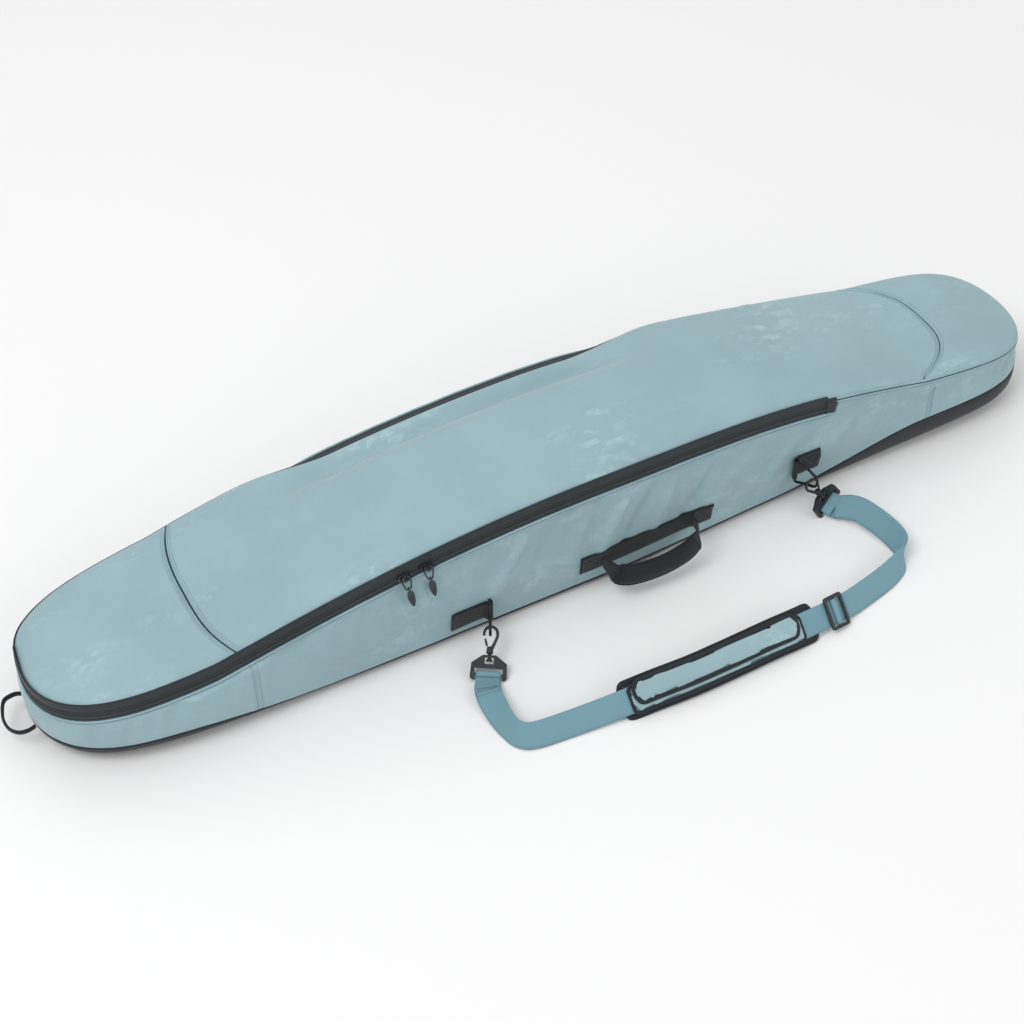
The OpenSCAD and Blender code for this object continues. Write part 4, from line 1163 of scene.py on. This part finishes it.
for key, sx in SLIDER_X.items():
    o, t, u, n = slider_axes(sx)
    m = frame_matrix(o, t, u)
    q = np.radians(np.arange(0, 360, 12))
    body = [(-5 + 6.3 * math.cos(v), 6.3 * math.sin(v)) if math.cos(v) < 0.1
            else (7 + 4.2 * math.cos(v), 4.2 * math.sin(v)) for v in q]
    bits = [plate("sl", [body], 0.9, 3.5, 0.7, M_METAL)]
    for s in (-1, 1):
        wing = [(-3.2, -3.2), (-3.2, 3.2), (-1, 3.3), (1.4, 2.6), (2.6, 1.2), (2.9, 0), (2.6, -1.2),
                (1.4, -2.6), (-1, -3.3)]
        ear = plate("sl", [[(p[0] + 0.1, p[1]) for p in wing]], -0.9, 0.9, 0.3, M_METAL)
        placed(ear, frame_matrix((s * 4.2, 0, 6.2), (0, 0, 1), (0, 1, 0)))
        bits.append(ear)
    bits.append(tube("sl", [(-6.2, 0, 3.2), (-6.6, 0, 6.4), (-4.8, 0, 9.6), (-1.5, 0, 10.9), (2.5, 0, 10.9),
                            (6, 0, 9.4), (7.9, 0, 6.2), (7.9, 0, 3.2)], 1.9, M_METAL, sides=12, first=(0, 1, 0), flat=0.5))
    finish(placed(joined("zip_slider_" + key, bits), m), "slider_" + key, "dark_metal", "slider_" + key)
    piv = o + np.cross(t, u) * 8
    back_ = -n
    c0 = np.cross(t, back_)
    th = math.radians(-4)
    hm = frame_matrix(piv, t, math.cos(th) * back_ + math.sin(th) * c0)
    half = [(0, 0), (3, 0), (5.6, -0.1), (6.7, -1.6), (6.6, -5), (5.8, -10), (4.6, -15.5), (3.9, -18.8),
            (2.6, -20.7), (0, -21)]
    wire = [(x, 0, z) for x, z in half] + [(-x, 0, z) for x, z in half[-2:0:-1]]
    wire = catmull(np.array(wire + wire[:1]), 4)[:-1]
    finish(placed(tube("pull_link_" + key, wire, 1.15, M_METAL, sides=10, closed=True, first=(0, 1, 0)), hm),
           "link_" + key, "dark_metal", "link_" + key)
    # leaf with a raised rim and three plain ribs, and the eye that holds the link
    rings = []
    for k in range(25):
        v = math.pi * k / 24
        z = -41.4 + 17.2 * math.cos(v)
        w = max(0.35, 5.6 * math.sin(v) * (1 + 0.25 * math.cos(v)))
        h = 0.5 + 1.25 * math.sin(v) ** 0.5
        g = np.radians(np.arange(0, 360, 22.5))
        cx, cy = np.cos(g), np.sin(g)
        dish = 1 - 0.3 * (np.abs(cx) < 0.6)
        rings.append(np.stack([w * cx, np.sign(cy) * np.abs(cy) ** 0.7 * h * dish, z + 0 * cx], -1))
    leaf = [sweep("pl", rings, [M_PULL])]
    for z in (-36, -40.5, -45, -49.5):
        leaf.append(tube("pl", [(-2.6, -1.35, z), (0, -1.5, z - 0.6), (2.6, -1.35, z)], 0.55, M_PULL, sides=8))
    eye = [(0, 2.55 * math.sin(v), -21 - 2.55 * math.cos(v)) for v in np.radians(np.arange(0, 360, 20))]
    leaf.append(tube("pl", eye, 1.05, M_PULL, sides=10, closed=True, first=(1, 0, 0)))
    finish(placed(joined("pull_leaf_" + key, leaf), hm), "pull_" + key, "pull_plastic", "pull_" + key)

# ---------------------------------------------------------------- carry handle
bits = [cloth_band("hb", wall_grid(-33, 203, 42, 80, 1.3, 90), 1.7, M_BLACKWEB)]
for x0, x1 in ((-33, 3), (167, 203)):
    bits.append(cloth_band("hb", wall_grid(x0, x1, 42.4, 79.6, 2.9, 16), 1.6, M_BLACKWEB))
    bits += box_x(x0 + 3.5, x1 - 4, 46, 76, 3.75, M_THREAD_GREY)
finish(joined("handle_base_webbing", bits), "bag", "black_web", "handle_web")

H_PTS = [[3, -147.5, 60], [4, -157, 59], [7, -169, 58], [14, -181, 54], [38, -188, 48], [85, -190, 45],
         [130, -187, 50], [155, -179, 58], [163, -168, 61], [166, -157, 61], [167, -147.5, 61]]
hp = resample(catmull(H_PTS, 12), 2.0)
hs = lengths(hp)
taper = 22 + 14 * smooth(np.minimum(hs, hs[-1] - hs) / 34)
strap = ribbon("handle_strap", hp, [(0, 0.28, 0.96)] * len(hp), taper, 1.7, M_BLACKWEB)
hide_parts("handle_grip")
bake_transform(strap)
inner = hp[(hs > 36) & (hs < hs[-1] - 36)]
inner = resample(inner, 3.0)
t = tangents(inner)
rings, es = [], lengths(inner)
for k, p in enumerate(inner):
    w = flat_to((0, 0.28, 0.96), t[k])
    nn = np.cross(t[k], w)
    e = min(es[k], es[-1] - es[k])
    full = 0.62 + 0.38 * smooth(e / 9)
    g = np.radians(np.arange(0, 360, 15))
    rings.append(p + np.outer(17.5 * np.sign(np.cos(g)) * np.abs(np.cos(g)) ** 0.85, w) * (0.9 + 0.1 * full)
                 + np.outer(5.6 * full * np.sign(np.sin(g)) * np.abs(np.sin(g)) ** 0.8, nn))
sleeve = sweep("handle_padded_sleeve", rings, [M_BLACKWEB])
stuffed(sleeve, 4.0, 3.0, 1.6)
finish(sleeve, "handle", "black_web", "handle_sleeve")
w_all = np.array([flat_to((0, 0.28, 0.96), t[k]) for k in range(len(inner))])
bind = []
for s in (-1, 1):
    bind.append(tube("sb", inner + s * w_all * 17.4, 1.5, M_BLACKWEB, sides=8))
for k in (2, -3):
    nn = np.cross(t[k], w_all[k])
    rim = [inner[k] + 17.9 * math.cos(v) * w_all[k] + 6.3 * math.sin(v) * nn
           for v in np.radians(np.arange(0, 360, 15))]
    bind.append(tube("sb", rim, 1.0, M_BLACKWEB, sides=8, closed=True, first=t[k]))
finish(joined("handle_sleeve_binding", bind), "handle", "black_web")

# ---------------------------------------------------------------- nose loop
NL = [[-852.4, 40.6, 34], [-863, 43.8, 34], [-880, 39, 33], [-892, 16, 32], [-892, -8, 31.5],
      [-882, -23, 31], [-868, -26.5, 31], [-856.2, -23.6, 31]]
nl = resample(catmull(NL, 12), 2.2)
nose_web = tube("nose_webbing_loop", nl, 4.6, M_BLACKWEB, sides=14, flat=0.5, round_ends=False)
finish(nose_web, "nose_loop", "black_web", "nose_loop")

# ---------------------------------------------------------------- anchor tabs and D-rings
TABS = {"left": ((-190, -152.5, 52), 243, -252, -197, 31, 73, -1),
        "right": ((358, -139.5, 78), 286, 405, 365, 57, 99, 1)}
for side, (c, head, x0, x1, z0, z1, s) in TABS.items():
    zs = np.linspace(z0 + 0.6, z1 - 0.6, 9)
    one = wall_grid(x0, x1, z0 + 0.6, z1 - 0.6, 1.2, 22)
    two = wall_grid(x1, x0, z0 + 0.6, z1 - 0.6, 2.9, 22)
    turn = []
    for k in range(13):
        v = math.radians(100 - 200 * k / 12)
        turn.append([(c[0] - s * 3.9 * math.cos(v), c[1] + 3.9 * math.sin(v), z) for z in zs])
    grid = np.concatenate([one, np.array(turn), two])
    bits = [cloth_band("tb", grid, 1.5, M_BLACKWEB)]
    bits += box_x(min(x0, x1) + 4, max(x0, x1) - 8 if s < 0 else max(x0, x1) - 4, z0 + 5, z1 - 5, 3.75, M_THREAD_GREY)
    finish(joined("anchor_tab_" + side, bits), "bag", "black_web", "tab_" + side)
    phi = math.radians(69.7)
    arc = [(31 + 13 * math.cos(v), 13 * math.sin(v)) for v in np.linspace(phi, -phi, 17)]
    up_side = [(0, -12), (0, 0), (0, 12), (0, 22.5), (0.9, 25.0), (3.2, 25.4)]
    line = (up_side + [(12, 21.7), (24, 16.2)] + arc
            + [(24, -16.2), (12, -21.7), (3.2, -25.4), (0.9, -25.0), (0, -22.5)])
    h = math.radians(head)
    wire = np.array([(c[0] + x * math.cos(h), c[1] + x * math.sin(h), c[2] + z) for x, z in line])
    wire = resample(np.concatenate([wire, wire[:1]]), 1.6)[:-1]
    finish(tube("d_ring_" + side, wire, 2.25, M_RING, sides=14, closed=True, first=(-math.sin(h), math.cos(h), 0)),
           "ring_" + side, "dark_metal", "ring_" + side)

# ---------------------------------------------------------------- snap hooks
EYE_L = np.array([-190, -152.5, 52]) + 31 * np.array([math.cos(math.radians(243)), math.sin(math.radians(243)), 0])
EYE_R = np.array([358, -139.5, 78]) + 31 * np.array([math.cos(math.radians(286)), math.sin(math.radians(286)), 0])
SWING = unit(EYE_R - EYE_L)
SHANK = {"left": unit([-0.40, -0.62, -0.60]), "right": unit([0.52, -0.10, -0.80])}
WIDE = {"left": np.array([0.86, -0.5, -0.05]), "right": np.array([0.80, 0.30, 0.52])}
HOOK = {"left": EYE_L + 2 * flat_to(SWING, SHANK["left"]), "right": EYE_R - 5 * flat_to(SWING, SHANK["right"])}
for side, flip in (("left", 1), ("right", -1)):
    sh = SHANK[side]
    m = frame_matrix(HOOK[side], sh, flat_to(SWING, sh))
    bow = [(34, 2.4), (29, 4.6), (22, 7.6), (16, 9.9), (11, 10.5), (5.75, 9.1), (1.9, 5.25), (0.5, 0), (1.9, -5.25),
           (5.75, -9.1), (11, -10.5), (14.6, -9.9)]
    pts = catmull([(x, y * flip, 0) for x, y in bow], 5)
    rad = np.interp(lengths(pts), [0, 12, 40, 62, 66], [3.0, 2.5, 2.35, 2.3, 2.0])
    bits = [tube("hk", pts, rad, M_PLASTIC, sides=14, flat=0.92)]
    prof = [(29.5, 1.6), (30.4, 3.9), (32, 4.7), (36, 5.0), (40.2, 5.1), (41, 4.4), (41.3, 2.9), (48.4, 2.9),
            (48.6, 4.5), (52.2, 4.6), (52.6, 3.6)]
    bits.append(tube("hk", [(x, 0, 0) for x, _ in prof], [r for _, r in prof], M_PLASTIC, sides=24, first=(0, 1, 0),
                     round_ends=False))
    for x in (33.6, 37.4):
        ring = [(x, 5.0 * math.cos(v), 5.0 * math.sin(v)) for v in np.radians(np.arange(0, 360, 20))]
        bits.append(tube("hk", ring, 0.55, M_PLASTIC, sides=8, closed=True, first=(1, 0, 0)))
    finish(placed(joined("snap_hook_" + side, bits), m), "hook_" + side, "black_plastic", "hook_" + side)
    gm = [tube("gt", [(30.2, -4.7 * flip, 0), (26, -6.0 * flip, 0), (22, -7.3 * flip, 0), (18.2, -8.5 * flip, 0)],
               1.7, M_METAL, sides=12, first=(0, 0, 1))]
    finish(placed(joined("spring_gate_" + side, gm), m), "gate_" + side, "dark_metal", "gate_" + side)
    base_node = bpy.data.objects["clip_base_" + side]
    base_node.data.materials.clear()
    base_node.data.materials.append(M_PLASTIC)
    shade(base_node, 32)

# ---------------------------------------------------------------- shoulder strap
BAR = {k: HOOK[k] + 71.6 * SHANK[k] for k in HOOK}
S_PTS = np.array([BAR["left"] + 6.4 * SHANK["left"], [-250, -262, 15], [-254, -292, 15], [-254, -326, 15.5],
                  [-247, -351, 16], [-226, -364, 16], [-168, -370, 16], [-105, -376, 20], [-42, -382, 27],
                  [26, -386, 29], [93, -385, 29], [159, -383, 29], [222, -381, 27], [296, -373, 20],
                  [347, -362, 16], [398, -349, 16], [432, -334, 17], [446, -315, 18], [450, -285, 19],
                  [443, -245, 20], [430, -212, 21],
                  BAR["right"] + 15 * flat_to((0.15, -0.98, 0.05), WIDE["right"])], float)
S_WIDE = np.array([WIDE["left"], [0.86, -0.4, 0.2], [0.75, -0.05, 0.45], [0.5, 0.4, 0.62], [0.28, 0.6, 0.68],
                   [0.2, 0.66, 0.7], [0.05, 0.7, 0.7], [0, 0.7, 0.7], [0, 0.7, 0.7], [0, 0.7, 0.7], [0, 0.7, 0.7],
                   [0, 0.7, 0.7], [0, 0.7, 0.7], [0, 0.7, 0.7], [-0.05, 0.7, 0.7], [-0.08, 0.66, 0.72],
                   [0.1, 0.55, 0.78], [0.4, 0.4, 0.75], [0.62, 0.2, 0.7], [0.72, 0.2, 0.62], [0.78, 0.28, 0.55],
                   WIDE["right"]], float)
FINE = 16
s_pts, s_wide = catmull(S_PTS, FINE), catmull(S_WIDE, FINE)
s_t = tangents(s_pts)
s_w = np.array([flat_to(s_wide[k], s_t[k]) for k in range(len(s_pts))])
s_n = np.cross(s_t, s_w)
s_len = lengths(s_pts)
ends = np.minimum(s_len, s_len[-1] - s_len)
s_width = 39.6 - 2.6 * smooth((24 - ends) / 14)
finish(ribbon("strap_webbing", s_pts, s_wide, s_width, 1.7, M_STRAP, crown=0.5), "strap", "strap_web", "strap_web")


def strap_at(k, across, out):
    return s_pts[k] + s_w[k] * across + s_n[k] * out


for side in ("left", "right"):
    ks = [k for k in range(len(s_pts)) if (s_len[k] if side == "left" else s_len[-1] - s_len[k]) < 42]
    ks = ks[::-1] if side == "left" else ks
    near_end = ks[-1]
    n_end = s_n[near_end]
    t_end = -s_t[near_end] if side == "left" else s_t[near_end]
    w_end = s_w[near_end]
    flip = 1 if (np.cross(t_end, w_end) @ n_end) > 0 else -1
    path = [strap_at(k, 0, 1.9 + 1.2 * smooth((14 - (s_len[k] if side == "left" else s_len[-1] - s_len[k])) / 14))
            for k in ks[::3]]
    wd = [s_w[k] for k in ks[::3]]
    bar = BAR[side]
    axis = flat_to(WIDE[side], SHANK[side])
    # half turn round the slot bar, from the upper layer back to the start of the strap
    d_in = unit(s_pts[near_end] - bar - axis * ((s_pts[near_end] - bar) @ axis))
    side_n = np.cross(axis, d_in)
    side_n = side_n if side_n @ n_end > 0 else -side_n
    for v in np.radians(np.linspace(62, 298, 13)):
        path.append(bar + 4.7 * (math.cos(v) * d_in + math.sin(v) * side_n))
        wd.append(axis if axis @ w_end > 0 else -axis)
    path.append(strap_at(near_end, 0, -0.4))
    wd.append(w_end)
    path, wd = np.array(path), np.array(wd)
    both = resample(np.concatenate([path, wd * 10], 1), 1.6)
    bits = [ribbon("fd", both[:, :3], both[:, 3:], 36.6, 1.7, M_STRAP)]
    for back_mm in (34, 30):
        k = min(range(len(s_pts)),
                key=lambda i: abs((s_len[i] if side == "left" else s_len[-1] - s_len[i]) - back_mm))
        row = [strap_at(k, c, 2.9) for c in np.linspace(-16, 16, 12)]
        bits.append(stitches("fs", row, [s_n[k]] * 12, M_THREAD_DARK, pitch=3.0, size=2.4, r=0.4))
    finish(joined("strap_end_fold_" + side, bits), "strap", "strap_web", "web_fold_" + side)


# ---------------------------------------------------------------- shoulder pad
def cushion(name, k0, k1, width, lo, hi, shift, mat, round_end, seed):
    """A stuffed strip along the strap: full in the middle, thin at its edges, with rounded corners."""
    rings = []
    ks = list(range(k0, k1 + 1))
    L0, L1 = s_len[ks[0]], s_len[ks[-1]]
    for k in ks:
        e = min(s_len[k] - L0, L1 - s_len[k])
        c = min(1, e / round_end)
        half = width / 2 - (1 - math.sqrt(max(0, 1 - (1 - c) ** 2))) * round_end
        full = 0.45 + 0.55 * float(smooth(e / 12))
        g = np.radians(np.arange(0, 360, 10))
        cx, cy = np.cos(g), np.sin(g)
        u = half * np.sign(cx) * np.abs(cx) ** 0.55
        thick = (hi - lo) / 2 * full * (0.42 + 0.58 * (1 - (np.abs(u) / (half + 0.01)) ** 4))
        wob = 0.35 * noise(s_len[k] / 17, u / 15, seed) + 0.3 * noise(s_len[k] / 6.5, 0.2, seed + 3)
        v = np.sign(cy) * np.abs(cy) ** 0.55 * thick + (lo + hi) / 2 + wob * full * np.sign(cy) * 0.8
        rings.append(s_pts[k] + s_w[k] * (u + shift)[:, None] + s_n[k] * v[:, None])
    return sweep(name, rings, [mat])


def edge_binding(name, k0, k1, width, mid, shift, r, round_end, mat):
    """Bound edge all round a pad piece."""
    pts = []
    ks = list(range(k0, k1 + 1))
    L0, L1 = s_len[ks[0]], s_len[ks[-1]]

    def half_at(k):
        e = min(s_len[k] - L0, L1 - s_len[k])
        c = min(1, e / round_end)
        return width / 2 - (1 - math.sqrt(max(0, 1 - (1 - c) ** 2))) * round_end
    for k in ks:
        pts.append(s_pts[k] + s_w[k] * (half_at(k) + shift) + s_n[k] * mid)
    for k in ks[::-1]:
        pts.append(s_pts[k] + s_w[k] * (-half_at(k) + shift) + s_n[k] * mid)
    pts = resample(np.array(pts + pts[:1]), 2.6)[:-1]
    return tube(name, pts, r, mat, sides=10, closed=True, first=s_w[ks[0]], flat=0.5)


K0, K1 = 29 * FINE // 4, 49 * FINE // 4
back_pad = cushion("pad_back_cushion", K0, K1, 55, -8.6, -1.3, 0, M_BIND, 9, 31)
stuffed(back_pad, 4.0, 2.5, 1.0)
finish(back_pad, "strap", "pad_charcoal", "pad_back")
finish(edge_binding("pad_back_binding", K0, K1, 53, -4.6, 0, 4.4, 10, M_BIND), "strap", "pad_charcoal")
flap1 = cushion("pad_lower_flap", K0 + 3, K1 - 6, 39, 1.3, 4.8, -1, M_SHELL, 5, 37)
stuffed(flap1, 2.6, 1.5, 0.6)
finish(flap1, "strap", "shell_plain", "pad_flap_lower")
finish(edge_binding("pad_lower_binding", K0 + 3, K1 - 6, 41, 2.9, -1, 2.6, 5, M_BIND), "strap", "pad_charcoal")
flap2 = cushion("pad_upper_flap", K0 + 5, K1 - 8, 33, 5.3, 9.2, 8, M_SHELL, 12, 43)
stuffed(flap2, 2.6, 1.5, 0.6)
finish(flap2, "pad_flap", "shell_plain", "pad_flap_upper")
finish(edge_binding("pad_upper_binding", K0 + 5, K1 - 8, 34.5, 6.8, 8, 3.4, 12, M_BIND), "pad_flap", "pad_charcoal")

# ---------------------------------------------------------------- adjuster
KA = 51 * FINE // 4
am = frame_matrix(s_pts[KA], s_t[KA], s_w[KA])


def rounded(x0, y0, x1, y1, r, n=6):
    out = []
    for cx, cy, q in ((x1 - r, y1 - r, 0), (x0 + r, y1 - r, 90), (x0 + r, y0 + r, 180), (x1 - r, y0 + r, 270)):
        out += [(cx + r * math.cos(math.radians(q + 90 * k / n)), cy + r * math.sin(math.radians(q + 90 * k / n)))
                for k in range(n + 1)]
    return out


frame_piece = plate("strap_adjuster", [rounded(-17.5, -26, 17.5, 26, 4.5), rounded(3, -21, 12.2, 21, 1.2),
                                       rounded(-12.2, -21, -3, 21, 1.2)], 2.9, 6.3, 0.9, M_PLASTIC)
finish(placed(frame_piece, am), "adjuster", "black_plastic", "adjuster")
pts, wd = [], []
for v in np.radians(np.linspace(-150, 150, 15)):
    pts.append((4.0 * math.sin(v) * 1.05, 0, 4.6 + 2.5 * math.cos(v)))
    wd.append((0, 1, 0))
web = ribbon("adjuster_webbing", pts, wd, 39, 1.4, M_STRAP)
finish(placed(web, am), "adjuster", "strap_web", "adjuster_web")

# ---------------------------------------------------------------- floor and light
def floor_and_light():
    me = bpy.data.meshes.new("floor")
    s = 14.0
    me.from_pydata([(-s, -s, -0.001), (s, -s, -0.001), (s, s, -0.001), (-s, s, -0.001)], [], [(0, 1, 2, 3)])
    k = Nodes("floor_paper")
    me.materials.append(k.set(lin(236, 236, 236), 0.9, None, spec=0.0))
    floor = bpy.data.objects.new("floor", me)
    bpy.context.scene.collection.objects.link(floor)
    world = bpy.data.worlds.new("world")
    bpy.context.scene.world = world
    world.use_nodes = True
    world.node_tree.nodes["Background"].inputs[0].default_value = (1, 1, 1, 1)
    world.node_tree.nodes["Background"].inputs[1].default_value = 0.66
    bpy.context.scene.view_settings.view_transform = "Standard"
    for name, pos, size, power in (("key", (-2.9, -0.9, 4.9), 2.6, 128.0), ("fill", (3.0, -4.4, 3.2), 3.4, 58.0),
                                   ("top", (0.5, 2.6, 4.8), 4.2, 44.0)):
        light = bpy.data.lights.new(name, "AREA")
        light.size = size
        light.energy = power
        obj = bpy.data.objects.new(name, light)
        obj.location = pos
        obj.rotation_euler = (Vector((0, 0, 0.1)) - Vector(pos)).to_track_quat("-Z", "Y").to_euler()
        bpy.context.scene.collection.objects.link(obj)


floor_and_light()
